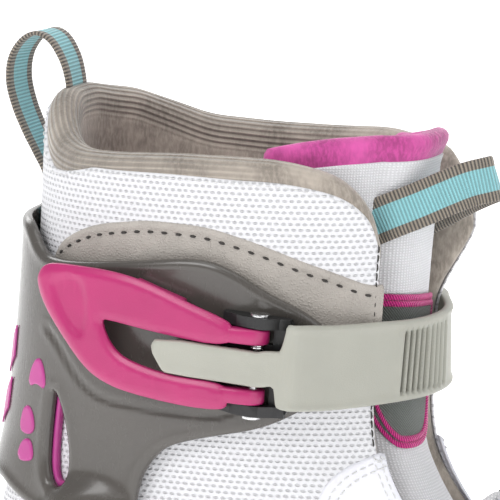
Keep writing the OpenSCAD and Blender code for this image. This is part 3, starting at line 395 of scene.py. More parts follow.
def tube_mesh(path, radius, sides=8, up=(0, 0, 1), squash=1.0, cap=True):
    """Points, faces and UVs of a tube along a path. radius is a number or one per point."""
    path = np.asarray(path, float)
    n = len(path)
    along = np.gradient(path, axis=0)
    along /= np.maximum(np.linalg.norm(along, axis=1, keepdims=True), 1e-9)
    across = np.cross(along, np.broadcast_to(up, along.shape))
    across /= np.maximum(np.linalg.norm(across, axis=1, keepdims=True), 1e-9)
    out = np.cross(across, along)
    radius = np.broadcast_to(radius, (n,))
    turn = np.arange(sides) / sides * 2 * math.pi
    ring = across[:, None] * np.cos(turn)[None, :, None] + out[:, None] * np.sin(turn)[None, :, None] * squash
    verts = (path[:, None] + ring * radius[:, None, None]).reshape(-1, 3)
    faces = grid_faces(n, sides, flip=True, wrap=True)
    length = np.concatenate([[0], np.cumsum(np.linalg.norm(np.diff(path, axis=0), axis=1))])
    uv = np.stack(np.broadcast_arrays(length[:, None], (turn * np.mean(radius))[None]), -1).reshape(-1, 2)
    if cap:
        faces += [list(range(sides)), list(range((n - 1) * sides, n * sides))[::-1]]
    return verts, faces, uv


def joined(parts):
    """One mesh from several (verts, faces, uv)."""
    verts, faces, uvs, start = [], [], [], 0
    for v, f, uv in parts:
        verts.append(v)
        uvs.append(uv)
        faces += [[i + start for i in face] for face in f]
        start += len(v)
    return np.vstack(verts), faces, np.vstack(uvs)


def stitch_mesh(line, normal, length=2.1, gap=0.9, thread=0.42, lift=0.12):
    """A row of stitches along a 3D line, each one a short thread that dips in at both ends."""
    line = resample(line, 0.3, closed=False)
    normal = np.asarray(normal, float)
    parts = []
    count = int(len(line) * 0.3 / (length + gap))
    at = np.linspace(0, len(line) - 1, max(2, int(len(line) * 0.3 / (length + gap)) + 1))
    for k in range(count):
        centre = (at[k] + at[k + 1]) / 2
        reach = length / 2 / 0.3
        ids = np.clip(np.linspace(centre - reach, centre + reach, 5), 0, len(line) - 1)
        points = np.stack([np.interp(ids, np.arange(len(line)), line[:, i]) for i in range(3)], 1)
        near = int(np.clip(int(centre / len(line) * len(normal)), 0, len(normal) - 1))
        out = normal if normal.ndim == 1 else normal[near]
        dip = np.array([-0.3, 0.1, 0.16, 0.1, -0.3]) + lift
        radius = np.array([0.6, 1, 1, 1, 0.6]) * thread / 2
        parts.append(tube_mesh(points + out * dip[:, None], radius, 6, up=out))
    return joined(parts)


# ---- materials ----


class Finish:
    """A node material under construction."""

    def __init__(self, name, colour, rough=0.5, metal=0.0, coat=0.0, coat_rough=0.1, sheen=0.0, **sockets):
        self.made = bpy.data.materials.new(name)
        self.made.use_nodes = True
        self.tree = self.made.node_tree
        self.shader = self.tree.nodes["Principled BSDF"]
        base = tuple(colour)[:3] + (1,)
        self.base = base
        self.made.diffuse_color = base
        values = {"Base Color": base, "Roughness": rough, "Metallic": metal, "Coat Weight": coat,
                  "Coat Roughness": coat_rough, "Sheen Weight": sheen, "Sheen Roughness": 0.45}
        for key, value in {**values, **sockets}.items():
            self.shader.inputs[key].default_value = value

    def add(self, kind, inputs=None, **settings):
        """A new node with its settings and inputs, each input a value or a socket."""
        node = self.tree.nodes.new(kind)
        for key, value in settings.items():
            setattr(node, key, value)
        for key, value in (inputs or {}).items():
            self.join(value, node.inputs[key])
        return node

    def join(self, value, socket):
        """Links a socket, or sets a value."""
        if isinstance(value, bpy.types.NodeSocket):
            self.tree.links.new(value, socket)
        elif value is not None:
            socket.default_value = value

    def calc(self, operation, a, b=None, c=None, clamp=False):
        """A Math node's result."""
        node = self.add("ShaderNodeMath", operation=operation, use_clamp=clamp)
        for k, value in enumerate((a, b, c)):
            self.join(value, node.inputs[k])
        return node.outputs[0]

    def step(self, value, low, high):
        """0 at low and 1 at high, with a soft step between."""
        return self.add("ShaderNodeMapRange", {"Value": value, "From Min": low, "From Max": high},
                        interpolation_type="SMOOTHSTEP").outputs["Result"]

    def blend(self, f, a, b):
        """A colour from a to b."""
        a, b = (tuple(x)[:3] + (1,) if not isinstance(x, bpy.types.NodeSocket) else x for x in (a, b))
        node = self.add("ShaderNodeMix", {"Factor": f, "A": None, "B": None}, data_type="RGBA")
        self.join(a, node.inputs[6])
        self.join(b, node.inputs[7])
        return node.outputs[2]

    def place(self, kind="Object", scale=(1, 1, 1)):
        """Texture coordinates, scaled from metres."""
        where = self.add("ShaderNodeTexCoord").outputs[kind]
        return self.add("ShaderNodeMapping", {"Vector": where, "Scale": scale}).outputs[0]

    def noise(self, scale, detail=3.0, vector=None, rough=0.5):
        """Noise with features of 1/scale metres."""
        inputs = {"Scale": scale, "Detail": detail, "Roughness": rough, "Vector": vector or self.place()}
        return self.add("ShaderNodeTexNoise", inputs).outputs["Fac"]

    def uv(self, scale=1.0):
        """The two UV coordinates, in metres times scale."""
        where = self.place("UV", (scale, scale, scale))
        split = self.add("ShaderNodeSeparateXYZ", {"Vector": where})
        return split.outputs["X"], split.outputs["Y"]

    def value(self, name):
        """A named attribute of the mesh."""
        return self.add("ShaderNodeAttribute", attribute_name=name).outputs["Fac"]

    def wave(self, x):
        """A 0 to 1 wave with one crest for each whole number."""
        turn = self.calc("MULTIPLY", x, 2 * math.pi)
        return self.calc("MULTIPLY_ADD", self.calc("COSINE", turn), 0.5, 0.5)

    def colour(self, socket):
        self.join(socket, self.shader.inputs["Base Color"])

    def roughness(self, socket):
        self.join(socket, self.shader.inputs["Roughness"])

    def bump(self, height, depth, strength=1.0):
        """Adds relief, depth metres high where height is 1."""
        before = self.shader.inputs["Normal"]
        node = self.add("ShaderNodeBump", {"Height": height, "Distance": depth, "Strength": strength})
        if before.is_linked:
            self.tree.links.new(before.links[0].from_socket, node.inputs["Normal"])
        self.tree.links.new(node.outputs[0], before)


FINISHES = {}


def finish(name):
    """The named finish, made when it is first asked for."""
    if name not in FINISHES:
        FINISHES[name] = MAKERS[name](bpy.context.scene.skate_colours).made
    return FINISHES[name]


def shade(obj, name):
    """Gives an object one finish."""
    obj.data.materials.clear()
    obj.data.materials.append(finish(name))
    return obj


def spacer_mesh(colours):
    """White knitted spacer mesh with staggered oval holes, darkened inside as painted shade."""
    look = Finish("spacer_mesh", colours.mesh, 0.72, sheen=0.25)
    u, v = look.uv(1.0)
    across = look.calc("DIVIDE", u, 0.0023)
    up = look.calc("DIVIDE", v, 0.0019)
    row = look.calc("FLOOR", up)
    shift = look.calc("MULTIPLY", look.calc("MODULO", row, 2.0), 0.5)
    fx = look.calc("SUBTRACT", look.calc("FRACT", look.calc("ADD", across, shift)), 0.5)
    fy = look.calc("SUBTRACT", look.calc("FRACT", up), 0.5)
    gap = look.calc("SQRT", look.calc("ADD", look.calc("POWER", look.calc("MULTIPLY", fx, 0.9), 2.0),
                                      look.calc("POWER", look.calc("MULTIPLY", fy, 1.25), 2.0)))
    hole = look.step(gap, 0.42, 0.08)
    thread = look.noise(2600, 2)
    white = look.blend(look.calc("MULTIPLY", thread, 0.5), colours.mesh, [c * 0.86 for c in colours.mesh])
    # Painted shade: the colour darkens inside each hole, where the bump sinks it.
    look.colour(look.blend(look.calc("MULTIPLY", hole, 0.55), white, [c * 0.45 for c in colours.mesh]))
    look.bump(look.calc("SUBTRACT", 1.0, hole), 0.00045)
    look.bump(thread, 0.00018)
    return look


def brushed_pile(colours, name="brushed_pile", shade_of="lining"):
    """Short brushed pile that lies in streaks."""
    base = getattr(colours, shade_of)
    look = Finish(name, base, 0.92, sheen=0.5)
    streaks = look.noise(1.0, 4, look.place("Object", (900, 900, 330)), 0.6)
    patches = look.noise(70, 3)
    dark = look.blend(look.step(streaks, 0.35, 0.7), [c * 0.62 for c in base], base)
    look.colour(look.blend(look.step(patches, 0.35, 0.75), dark, [min(1, c * 1.22 + 0.02) for c in base]))
    look.bump(streaks, 0.0005, 0.7)
    look.bump(patches, 0.0008, 0.4)
    return look


def ribbed_pile(colours):
    """The collar's pile, quilted in fine ribs that run along its rim, with painted shade darkening the
    grooves between them.
    """
    look = brushed_pile(colours, "ribbed_pile", "lining")
    rib = look.wave(look.calc("DIVIDE", look.value("roll"), 1.9))
    depth = look.calc("MULTIPLY", look.calc("SUBTRACT", 1.0, rib), look.value("quilted"))
    pile = look.shader.inputs["Base Color"].links[0].from_socket
    # Painted shade: the grooves between the ribs are darkened where the quilting is deep.
    look.colour(look.blend(look.calc("MULTIPLY", depth, 0.5), pile, [c * 0.4 for c in colours.lining]))
    look.bump(look.calc("SUBTRACT", 1.0, depth), 0.0006)
    return look


def fine_knit(colours):
    """Fine white knit of the tongue."""
    look = Finish("fine_knit", colours.mesh, 0.75, sheen=0.2)
    u, v = look.uv(1.0)
    wales = look.wave(look.calc("DIVIDE", u, 0.0012))
    knit = look.calc("MULTIPLY", wales, look.wave(look.calc("DIVIDE", v, 0.0009)))
    look.colour(look.blend(knit, [c * 0.8 for c in colours.mesh], [min(1, c * 1.08) for c in colours.mesh]))
    look.bump(knit, 0.0002)
    return look


def pink_pile(colours):
    """The tongue's lining."""
    return brushed_pile(colours, "pink_pile", "tongue_lining")


def grained_leather(colours):
    """Fine-grained beige synthetic leather with creases."""
    look = Finish("grained_leather", colours.leather, 0.5, coat=0.08, coat_rough=0.4)
    grain = look.add("ShaderNodeTexVoronoi", {"Scale": 1300.0, "Vector": look.place()}, feature="F1")
    cracks = look.step(grain.outputs["Distance"], 0.1, 0.65)
    creases = look.noise(120, 5)
    tone = look.blend(look.step(creases, 0.3, 0.75), [c * 0.84 for c in colours.leather], colours.leather)
    look.colour(look.blend(look.calc("MULTIPLY", cracks, 0.3), tone, [c * 0.7 for c in colours.leather]))
    look.roughness(look.calc("MULTIPLY_ADD", creases, 0.25, 0.4))
    look.bump(look.calc("SUBTRACT", 1.0, cracks), 0.00016)
    look.bump(creases, 0.0005, 0.4)
    return look


def coated_leather(colours):
    """Smooth white coated leather with a faint pearl sheen."""
    look = Finish("coated_leather", colours.eyestay, 0.38, coat=0.25, coat_rough=0.25)
    look.shader.inputs["Sheen Weight"].default_value = 0.1
    look.shader.inputs["Thin Film Thickness"].default_value = 380
    look.shader.inputs["Thin Film IOR"].default_value = 1.45
    clouds = look.noise(45, 2)
    look.colour(look.blend(clouds, (0.84, 0.79, 0.88), (0.82, 0.86, 0.90)))
    grain = look.add("ShaderNodeTexVoronoi", {"Scale": 1700.0, "Vector": look.place()}, feature="F1")
    look.bump(grain.outputs["Distance"], 0.00006)
    look.bump(look.noise(300, 3), 0.0002, 0.5)
    return look


def woven_webbing(colours):
    """Ribbed webbing with a coloured stripe down its middle."""
    look = Finish("woven_webbing", colours.webbing, 0.68, sheen=0.3)
    along, across = look.uv(1.0)
    half = webbing_w / 2 * MM
    off = look.calc("ABSOLUTE", look.calc("DIVIDE", across, half))
    stripe = look.step(off, 0.565, 0.52)
    rib = look.wave(look.calc("DIVIDE", along, 0.0012))
    slant = look.calc("ADD", across, look.calc("MULTIPLY", along, 0.7))
    twist = look.wave(look.calc("DIVIDE", slant, 0.0008))
    edge = look.blend(rib, (0.028, 0.022, 0.018), (0.33, 0.28, 0.22))
    middle = look.blend(look.calc("MULTIPLY", rib, 0.9), [c * 0.5 for c in colours.webbing], colours.webbing)
    fray = look.noise(1500, 3)
    yarn = look.blend(stripe, edge, middle)
    look.colour(look.blend(look.calc("MULTIPLY", fray, 0.12), yarn, (0.5, 0.5, 0.5)))
    look.bump(rib, 0.0004, 0.8)
    look.bump(twist, 0.00012, 0.8)
    look.bump(fray, 0.0001)
    return look


def twill(colours):
    """Grey twill of the badge."""
    look = Finish("twill", colours.badge, 0.8, sheen=0.3)
    u, v = look.uv(1.0)
    rib = look.wave(look.calc("DIVIDE", look.calc("ADD", u, look.calc("MULTIPLY", v, 0.8)), 0.0009))
    thread = look.wave(look.calc("DIVIDE", look.calc("SUBTRACT", v, u), 0.0006))
    cloth = look.blend(rib, [c * 0.6 for c in colours.badge], [min(1, c * 1.15) for c in colours.badge])
    look.colour(look.blend(look.calc("MULTIPLY", thread, 0.3), cloth, [c * 0.7 for c in colours.badge]))
    look.bump(rib, 0.00025)
    look.bump(thread, 0.00010)
    return look


def moulded(name, base, rough, coat, grain, mottling=0.1):
    """Moulded plastic with faint flow marks, handling scuffs and a fine grain."""
    look = Finish(name, base, rough, coat=coat, coat_rough=0.12)
    flow = look.noise(38, 3)
    scuffs = look.noise(1.0, 5, look.place("Object", (260, 900, 90)), 0.7)
    rubbed = look.step(scuffs, 0.56, 0.72)
    tone = look.blend(look.step(flow, 0.3, 0.7), [c * (1 - mottling) for c in base], base)
    look.colour(look.blend(look.calc("MULTIPLY", rubbed, 0.16), tone, [min(1, c * 1.2 + 0.03) for c in base]))
    look.roughness(look.calc("MULTIPLY_ADD", rubbed, 0.16, rough))
    if grain:
        look.bump(look.noise(2400, 2), grain)
    look.bump(flow, 0.00022, 0.35)
    return look


def cuff_plastic(colours):
    return moulded("cuff_plastic", colours.cuff, 0.27, 0.35, 0.00002)


def lever_plastic(colours):
    return moulded("lever_plastic", colours.lever, 0.33, 0.15, 0.00005, 0.12)


def inlay_plastic(colours):
    return moulded("inlay_plastic", colours.inlay, 0.4, 0.1, 0.00005)


def strap_plastic(colours):
    """Softer plastic that lets a little light in."""
    look = moulded("strap_plastic", colours.strap, 0.46, 0.05, 0.00007, 0.06)
    look.shader.inputs["Subsurface Weight"].default_value = 0.06
    look.shader.inputs["Subsurface Radius"].default_value = (0.004, 0.003, 0.002)
    return look


def black_plastic(colours):
    return moulded("black_plastic", colours.buckle, 0.38, 0.1, 0.00006)


def sole_plastic(colours):
    return moulded("sole_plastic", colours.sole, 0.5, 0.0, 0.0001)


def steel(name, base, rough, lines):
    """Steel with fine polishing lines."""
    look = Finish(name, base, rough, metal=1.0)
    brush = look.noise(1.0, 3, look.place("Object", lines), 0.6)
    look.roughness(look.calc("MULTIPLY_ADD", brush, 0.22, rough - 0.05))
    look.colour(look.blend(look.calc("MULTIPLY", brush, 0.5), base, [c * 0.72 for c in base]))
    look.bump(brush, 0.00003)
    return look


def blade_steel(colours):
    return steel("blade_steel", (0.66, 0.67, 0.69), 0.26, (60, 900, 4200))


def plated_steel(colours):
    return steel("plated_steel", (0.72, 0.72, 0.73), 0.18, (1500, 1500, 1500))


def footbed_cloth(colours):
    """Knitted top of the footbed."""
    look = Finish("footbed_cloth", colours.lining, 0.9, sheen=0.3)
    knit = look.wave(look.calc("DIVIDE", look.noise(500, 2), 0.2))
    look.colour(look.blend(knit, [c * 0.55 for c in colours.lining], [c * 0.85 for c in colours.lining]))
    look.bump(knit, 0.0002)
    return look


def lace_cotton(colours):
    """Braided cotton."""
    look = Finish("lace_cotton", (0.86, 0.86, 0.87), 0.8, sheen=0.3)
    along, round_ = look.uv(1.0)
    one = look.wave(look.calc("DIVIDE", look.calc("ADD", along, round_), 0.0017))
    two = look.wave(look.calc("DIVIDE", look.calc("SUBTRACT", along, round_), 0.0017))
    weave = look.calc("MULTIPLY", one, two)
    look.colour(look.blend(weave, (0.52, 0.52, 0.54), (0.9, 0.9, 0.9)))
    look.bump(weave, 0.0003)
    return look


def thread(name, base):
    """Sewing thread with a twist."""
    look = Finish(name, base, 0.6, sheen=0.2)
    ply = look.noise(2600, 2)
    look.colour(look.blend(ply, [c * 0.55 for c in base], [min(1, c * 1.2) for c in base]))
    look.bump(ply, 0.0001)
    return look


def braided_edge(colours):
    """Satin-stitched border of the badge."""
    look = Finish("braided_edge", colours.border, 0.55, sheen=0.35)
    along, round_ = look.uv(1.0)
    slant = look.calc("ADD", along, look.calc("MULTIPLY", round_, 0.5))
    strand = look.wave(look.calc("DIVIDE", slant, 0.0009))
    bright = [min(1, c * 1.15) for c in colours.border]
    look.colour(look.blend(strand, [c * 0.45 for c in colours.border], bright))
    look.bump(strand, 0.0003)
    return look


MAKERS = {
    "spacer_mesh": spacer_mesh,
    "brushed_pile": brushed_pile,
    "ribbed_pile": ribbed_pile,
    "fine_knit": fine_knit,
    "pink_pile": pink_pile,
    "grained_leather": grained_leather,
    "coated_leather": coated_leather,
    "woven_webbing": woven_webbing,
    "twill": twill,
    "cuff_plastic": cuff_plastic,
    "lever_plastic": lever_plastic,
    "inlay_plastic": inlay_plastic,
    "strap_plastic": strap_plastic,
    "black_plastic": black_plastic,
    "sole_plastic": sole_plastic,
    "blade_steel": blade_steel,
    "plated_steel": plated_steel,
    "footbed_cloth": footbed_cloth,
    "lace_cotton": lace_cotton,
    "white_thread": lambda colours: thread("white_thread", (0.8, 0.8, 0.8)),
    "dark_thread": lambda colours: thread("dark_thread", (0.035, 0.03, 0.026)),
    "braided_edge": braided_edge,
}


# ---- surfaces that pieces are laid out on ----

AROUND = np.arange(-180.0, 541.0, 1.5)


def arc_table(z):
    """Length round the skin at height z, from the toe, for each angle of AROUND."""
    points = skin(z, AROUND, 0)
    length = np.concatenate([[0], np.cumsum(np.linalg.norm(np.diff(points, axis=0), axis=1))])
    return length - np.interp(0, AROUND, length)


LEG_ARC = arc_table(ankle_z + 68)
FOOT_ARC = arc_table(sole_z + 34)


def leg_u(a):
    return np.interp(a, AROUND, LEG_ARC)


def leg_a(u):
    return np.interp(u, LEG_ARC, AROUND)


def foot_u(a):
    return np.interp(a, AROUND, FOOT_ARC)


def foot_a(u):
    return np.interp(u, FOOT_ARC, AROUND)


def on_collar(u, z, d):
    """Point d out of the leg, u round it and z high, with the open inner flap."""
    a = leg_a(u)
    return skin(z, a, d + flare(z, a))


def on_shaft(u, z, d):
    """Point d out of the leg, without the flap's flare."""
    return skin(z, leg_a(u), d)


def on_foot(u, z, d):
    return skin(z, foot_a(u), d)


def side_points(points, side):
    """Side-view points (X from the middle of the collar, Z) laid out round the leg."""
    points = np.asarray(points, float)
    z = points[:, 1]
    a = angle_at(z, points[:, 0] + leg_x)
    return np.stack([leg_u(a if side > 0 else 360 - a), z], 1)


def line_distance(u, v, line):
    """Distance of points (u, v) from an open line."""
    line = np.asarray(line, float)
    p = np.stack([u, v], 1)[:, None]
    a, b = line[:-1], line[1:]
    f = np.clip(((p - a) * (b - a)).sum(-1) / ((b - a) ** 2).sum(-1), 0, 1)
    return np.linalg.norm(p - a - f[..., None] * (b - a), axis=-1).min(1)


def panel(name, place, outline, top, bottom, finish_name, body=None, holes=(), step=2.0,
          rings=(0.25, 0.7, 1.4), **facts):
    """A panel object with its finish."""
    verts, faces, uv, e = panel_mesh(place, outline, top, bottom, holes, step, rings)
    marks = {"edge": e, "under": np.repeat([0.0, 1.0], len(e) // 2)}
    obj = add_object(name, verts, faces, body, uv=uv, attributes=marks, **facts)
    return shade(obj, finish_name)


def across_ankle(obj):
    """Bakes the object's transform into its mesh."""
    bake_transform(obj)


def offset_line(outline, place, inset, d, closed=True, step=0.5):
    """3D line that runs inset from a panel's outline, and the surface's normal along it."""
    loop = resample(outline, step, closed)
    along = np.roll(loop, -1, axis=0) - np.roll(loop, 1, axis=0)
    if not closed:
        along = np.gradient(loop, axis=0)
    n = np.stack([-along[:, 1], along[:, 0]], 1)
    n /= np.maximum(np.linalg.norm(n, axis=1, keepdims=True), 1e-9)
    area = (loop[:, 0] * np.roll(loop[:, 1], -1) - np.roll(loop[:, 0], -1) * loop[:, 1]).sum()
    flat = loop + n * inset * (1 if area > 0 or not closed else -1)
    on = place(flat[:, 0], flat[:, 1], np.full(len(flat), d))
    out = place(flat[:, 0], flat[:, 1], np.full(len(flat), d + 1.0)) - on
    return on, out / np.linalg.norm(out, axis=1, keepdims=True)


def stitches(name, place, line, d, finish_name, body, slot=None, inset=0.0, **sizes):
    """A row of stitches along a 2D line of a panel's surface."""
    points, out = offset_line(line, place, inset, d, closed=False, step=0.4)
    verts, faces, uv = stitch_mesh(points, out, **sizes)
    obj = add_object(name, verts, faces, body, slot, uv=uv)
    return shade(obj, finish_name)


def ring_mesh(profile, sides=48):
    """Points, faces and UVs of a profile (radius, height) turned about +Z."""
    profile = np.asarray(profile, float)
    turn = np.arange(sides) / sides * 2 * math.pi
    points = np.stack(np.broadcast_arrays(profile[:, :1] * np.cos(turn), profile[:, :1] * np.sin(turn),
                                          profile[:, 1:]), -1)
    uv = np.stack(np.broadcast_arrays(turn[None] * 5, profile[:, 1:]), -1)
    return points.reshape(-1, 3), grid_faces(len(profile), sides, wrap=True), uv.reshape(-1, 2)


def keep_node(node, finish_name, bevel=0.4, angle=32, segments=2):
    """Gives a CAD node its finish and softens its edges."""
    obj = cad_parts[node]
    shade(obj, finish_name)
    weld = obj.modifiers.new("weld", "WELD")
    weld.merge_threshold = 0.00001
    if bevel:
        soften = obj.modifiers.new("soften", "BEVEL")
        soften.width = bevel * MM
        soften.segments = segments
        soften.limit_method = "ANGLE"
        soften.angle_limit = math.radians(angle)
        soften.harden_normals = True
    return obj


# ---- frame of the ratchet buckle: X forward along the strap, Y up and Z out ----

BUCKLE_TILT = math.radians(5)
BUCKLE_YAW = math.radians(5)
buckle_x = leg_x + 0.156 * leg_len
buckle_z = on_leg(220)
buckle_y = float(skin(on_leg(237), 88, cuff_out)[1]) - 24 * math.tan(BUCKLE_YAW) + 0.4


def from_buckle(x, y, z):
    """Point given in the buckle's frame."""
    x, y, z = np.broadcast_arrays(*(np.asarray(k, float) for k in (x, y, z)))
    forward = x * math.cos(BUCKLE_TILT) + y * math.sin(BUCKLE_TILT)
    up = -x * math.sin(BUCKLE_TILT) + y * math.cos(BUCKLE_TILT)
    return np.stack([buckle_x + forward * math.cos(BUCKLE_YAW) + z * math.sin(BUCKLE_YAW),
                     -buckle_y + forward * math.sin(BUCKLE_YAW) - z * math.cos(BUCKLE_YAW),
                     buckle_z + up], -1)


# ---- lower boot ----

vamp_z = sole_z + 56 + 0.7 * 12
seam_z = ankle_z - 34


def foot_outline(a0, a1, top, bottom_z, steps=60):
    """Outline round the foot from angle a0 to a1, between bottom_z and a top given by angle."""
    a = np.linspace(a0, a1, steps)
    low = np.stack([foot_u(a), np.full(steps, bottom_z)], 1)
    high = np.stack([foot_u(a), np.broadcast_to(top(a), (steps,))], 1)
    return np.vstack([low, high[::-1]])


def lower_boot():
    """White mesh over a padded lining, from the sole to the ankle."""
    pad = foot_outline(-throat_a - 0.3, throat_a + 0.3, lambda a: vamp_z - 0.4, sole_z + 0.4)
    panel("vamp_pad", on_foot, pad, soft_face(-0.4, 2.4),
          lambda e, u, v: -upper_wall + round_edge(e, 2.4), "brushed_pile", BOOT, step=4,
          rings=(0.4, 1.2, 2.4), slot="white_mesh", replaces=["vamp"])
    skin_ = foot_outline(-throat_a, throat_a, lambda a: vamp_z - 0.4, sole_z + 0.4)
    panel("vamp_mesh", on_foot, skin_, soft_face(0.3, 0.6), flat_face(-0.6),
          "spacer_mesh", BOOT, step=4, slot="white_mesh")
    rest = foot_outline(throat_a + 0.3, 360 - throat_a - 0.3, lambda a: ankle_z - 12, sole_z + 0.4, 120)
    panel("quarter_pad", on_foot, rest, soft_face(-0.4, 2.4),
          lambda e, u, v: -upper_wall + round_edge(e, 2.4), "brushed_pile", BOOT, step=4,
          rings=(0.4, 1.2, 2.4), slot="white_mesh", replaces=["quarters"])
    rest = foot_outline(throat_a, 360 - throat_a, lambda a: seam_z, sole_z + 0.4, 120)
    panel("quarter_mesh", on_foot, rest, soft_face(0.3, 0.6), flat_face(-0.6),
          "spacer_mesh", BOOT, step=4, slot="white_mesh")


def cap_z(a):
    """Top of the toe cap at angle a."""
    return np.interp(4.3 - 2.2 * (np.abs(a) / 60) ** 2, np.arange(TOP + 1), LEVELS[:, 0])


def counter_z(a):
    """Top of the heel counter at angle a, with an ear at each pivot."""
    fold = np.where(a > 180, 360 - a, a)
    ear = np.maximum(0, 1 - ((fold - pivot_a) / 16) ** 2)
    side = np.clip((fold - 62) / 40, 0, 1)
    return sole_z + 22 + side * 56 + ear * 15.5


pivot_a = float(angle_at(pivot[2], pivot[0]))
hub_r = 17.0
hub_low = pivot[2] - hub_r
hub_in = float(abs(skin(hub_low, angle_at(hub_low, pivot[0] + hub_r), 0)[1])) + cuff_gap + 0.4
boss_out = hub_in - face_gap


def toe_and_heel():
    """Coated leather toe cap and moulded heel counter."""
    cap = foot_outline(-60, 60, cap_z, sole_z + 0.3)
    panel("toe_guard", on_foot, cap, soft_face(face_gap + counter_t, 1.8),
          flat_face(face_gap), "coated_leather", BOOT, step=3, slot="white_leather",
          replaces=["toe_cap"], rings=(0.3, 0.9, 1.8))
    top = np.stack([foot_u(np.linspace(-60, 60, 80)), cap_z(np.linspace(-60, 60, 80)) - 3.2], 1)
    for k, drop in enumerate((0, 2.2)):
        stitches(f"toe_stitch_{k}", on_foot, top - (0, drop), face_gap + counter_t, "white_thread", BOOT,
                 "white_leather")
    heel = foot_outline(62, 298, counter_z, sole_z + 0.3, 160)
    panel("heel_shell", on_foot, heel, soft_face(face_gap + counter_t, 1.2),
          flat_face(face_gap), "cuff_plastic", BOOT, step=3, slot="grey_plastic",
          replaces=["heel_counter"])
    low = hub_in - 8.5
    for side in (-1, 1):
        profile = [(4.05, low), (11, low), (11, boss_out - 0.5), (10.5, boss_out), (4.5, boss_out),
                   (4.05, boss_out - 0.4), (4.05, low)]
        verts, faces, uv = ring_mesh(profile)
        turned = np.stack([pivot[0] + verts[:, 0], side * verts[:, 2], pivot[2] - side * verts[:, 1]], 1)
        obj = add_object(f"pivot_boss_{side % 3}", turned, faces, BOOT, "grey_plastic", uv=uv, sharp=35)
        shade(obj, "cuff_plastic")


def stay_outline(side):
    """Outline of an eyestay round the leg, from the vamp up the throat's edge."""
    front = [(flap_a(z, side) + 0.4, z) for z in np.linspace(vamp_z + 2, on_leg(189), 24)]
    back = [(52, on_leg(182)), (62, on_leg(168)), (66, on_leg(156)), (64, 143), (58, 133), (50, vamp_z + 1)]
    if side > 0:
        front = [(a, z) for a, z in front if z < on_leg(186)] + [(flap_medial + 0.6, on_leg(186))]
        back = [(44, on_leg(180)), (56, on_leg(168)), (62, on_leg(156))] + back[3:]
    points = np.array(front + back)
    a = points[:, 0] if side > 0 else 360 - points[:, 0]
    return np.stack([leg_u(a), points[:, 1]], 1)


def eyestays():
    """Smooth white eyestays with their stitching."""
    for side, word in ((-1, "lateral"), (1, "medial")):
        outline = rounded_line(stay_outline(side), times=2)
        obj = panel(f"stay_{word}", on_collar, outline, soft_face(1.25, 0.9),
                    flat_face(0.1), "coated_leather", step=2.0, slot="white_leather",
                    replaces=[f"eyestay_{word}"])
        across_ankle(obj)
        for k, inset in enumerate((2.2, 4.4)):
            points, out = offset_line(outline, on_collar, inset, 1.25)
            verts, faces, uv = stitch_mesh(points, out, thread=0.5)
            row = shade(add_object(f"stay_stitch_{word}_{k}", verts, faces, None, "white_leather", uv=uv),
                        "white_thread")
            across_ankle(row)


# ---- lace ----

eyelet_a = 37.0
vamp_level = 4.7
split_level = float(level(split_z))
lace_over = 1.2 + 1.4 + lace_d / 2 + 0.7
lock_h = 14.0


def height_of(t):
    """Height of a level number."""
    return np.interp(t, np.arange(TOP + 1), LEVELS[:, 0])


def eyelet_level(k):
    return mix(vamp_level + 0.45, split_level - 0.22, k / (eyelets_n - 1))


lace_on_tongue = -upper_wall - face_gap + lace_d / 2 + 2.4


def eyelet_point(k, side):
    return skin(height_of(eyelet_level(k)), side * eyelet_a, lace_over)


def lace_height(a, rise):
    """How far the lace lies off the skin at angle a: down on the tongue and up over the eyestays."""
    f = smooth((abs(a) - 9) / 17)
    return mix(lace_on_tongue + rise, lace_over, f)


def throat_frame(t):
    """Directions up the throat and out of it at level t."""
    up = skin(height_of(t + 0.1), 0, 0) - skin(height_of(t - 0.1), 0, 0)
    up = up / np.linalg.norm(up)
    return up, np.array([up[2], 0, -up[0]])


lock_level = eyelet_level(eyelets_n - 1) - 0.1
lock_up, lock_out = throat_frame(lock_level)
lock_at = skin(height_of(lock_level), 0, 0) + lock_out * (1.2 + 1 + lace_d + 0.8 + lace_d + 4.5 + 0.8)


def lock_point(y, out, up):
    return lock_at + np.array([0, y, 0]) + out * lock_out + up * lock_up


def curved(points, step=1.0):
    """A smooth line through the points, Catmull-Rom."""
    points = np.asarray(points, float)
    ends = np.vstack([2 * points[0] - points[1], points, 2 * points[-1] - points[-2]])
    out = []
    for k in range(1, len(ends) - 2):
        a, b, c, d = ends[k - 1:k + 3]
        f = np.linspace(0, 1, 9)[:-1, None]
        out.append(0.5 * (2 * b + (c - a) * f + (2 * a - 5 * b + 4 * c - d) * f**2
                          + (3 * b - a - 3 * c + d) * f**3))
    out.append(points[-1:])
    return resample(np.vstack(out), step, closed=False)


def lacing():
    """Braided lace through the eyelets and the lock."""
    routes = []
    last = eyelets_n - 1
    runs = [(k, side, k + 1, -side) for k in range(last) for side in (-1, 1)] + [(0, -1, 0, 1)]
    for k0, s0, k1, s1 in runs:
        rise = 0 if s0 < 0 else lace_d + 0.6
        points = []
        for f in np.linspace(0, 1, 15):
            a = mix(s0, s1, f) * eyelet_a
            z = height_of(mix(eyelet_level(k0), eyelet_level(k1), f))
            points.append(skin(z, a, lace_height(a, rise)))
        routes.append(points)
    for side in (-1, 1):
        end = eyelet_point(last, side)
        low = -lock_h / 2
        routes.append([end, mix(end, lock_point(side * 6.4, 0, lock_h / 2 + 4), 0.55) + 2 * lock_out,
                       lock_point(side * 6.4, 0, lock_h / 2 + 3), lock_point(side * 6.4, 0, lock_h / 2),
                       lock_point(side * 6.4, 0, low - 3),
                       mix(lock_point(side * 6.4, 0, low), lock_point(side * 3.4, 0, low - 22), 0.55)
                       - 0.5 * lock_out,
                       lock_point(side * 3.4, -1, low - 22), lock_point(side * 3.4, -1, low - 26)])
    parts = [tube_mesh(curved(points, 0.8), lace_d / 2, 12, up=lock_out, squash=0.86) for points in routes]
    verts, faces, uv = joined(parts)
    obj = add_object("braided_lace", verts, faces, BOOT, "lace_cotton", replaces=["lace"], uv=uv)
    shade(obj, "lace_cotton")


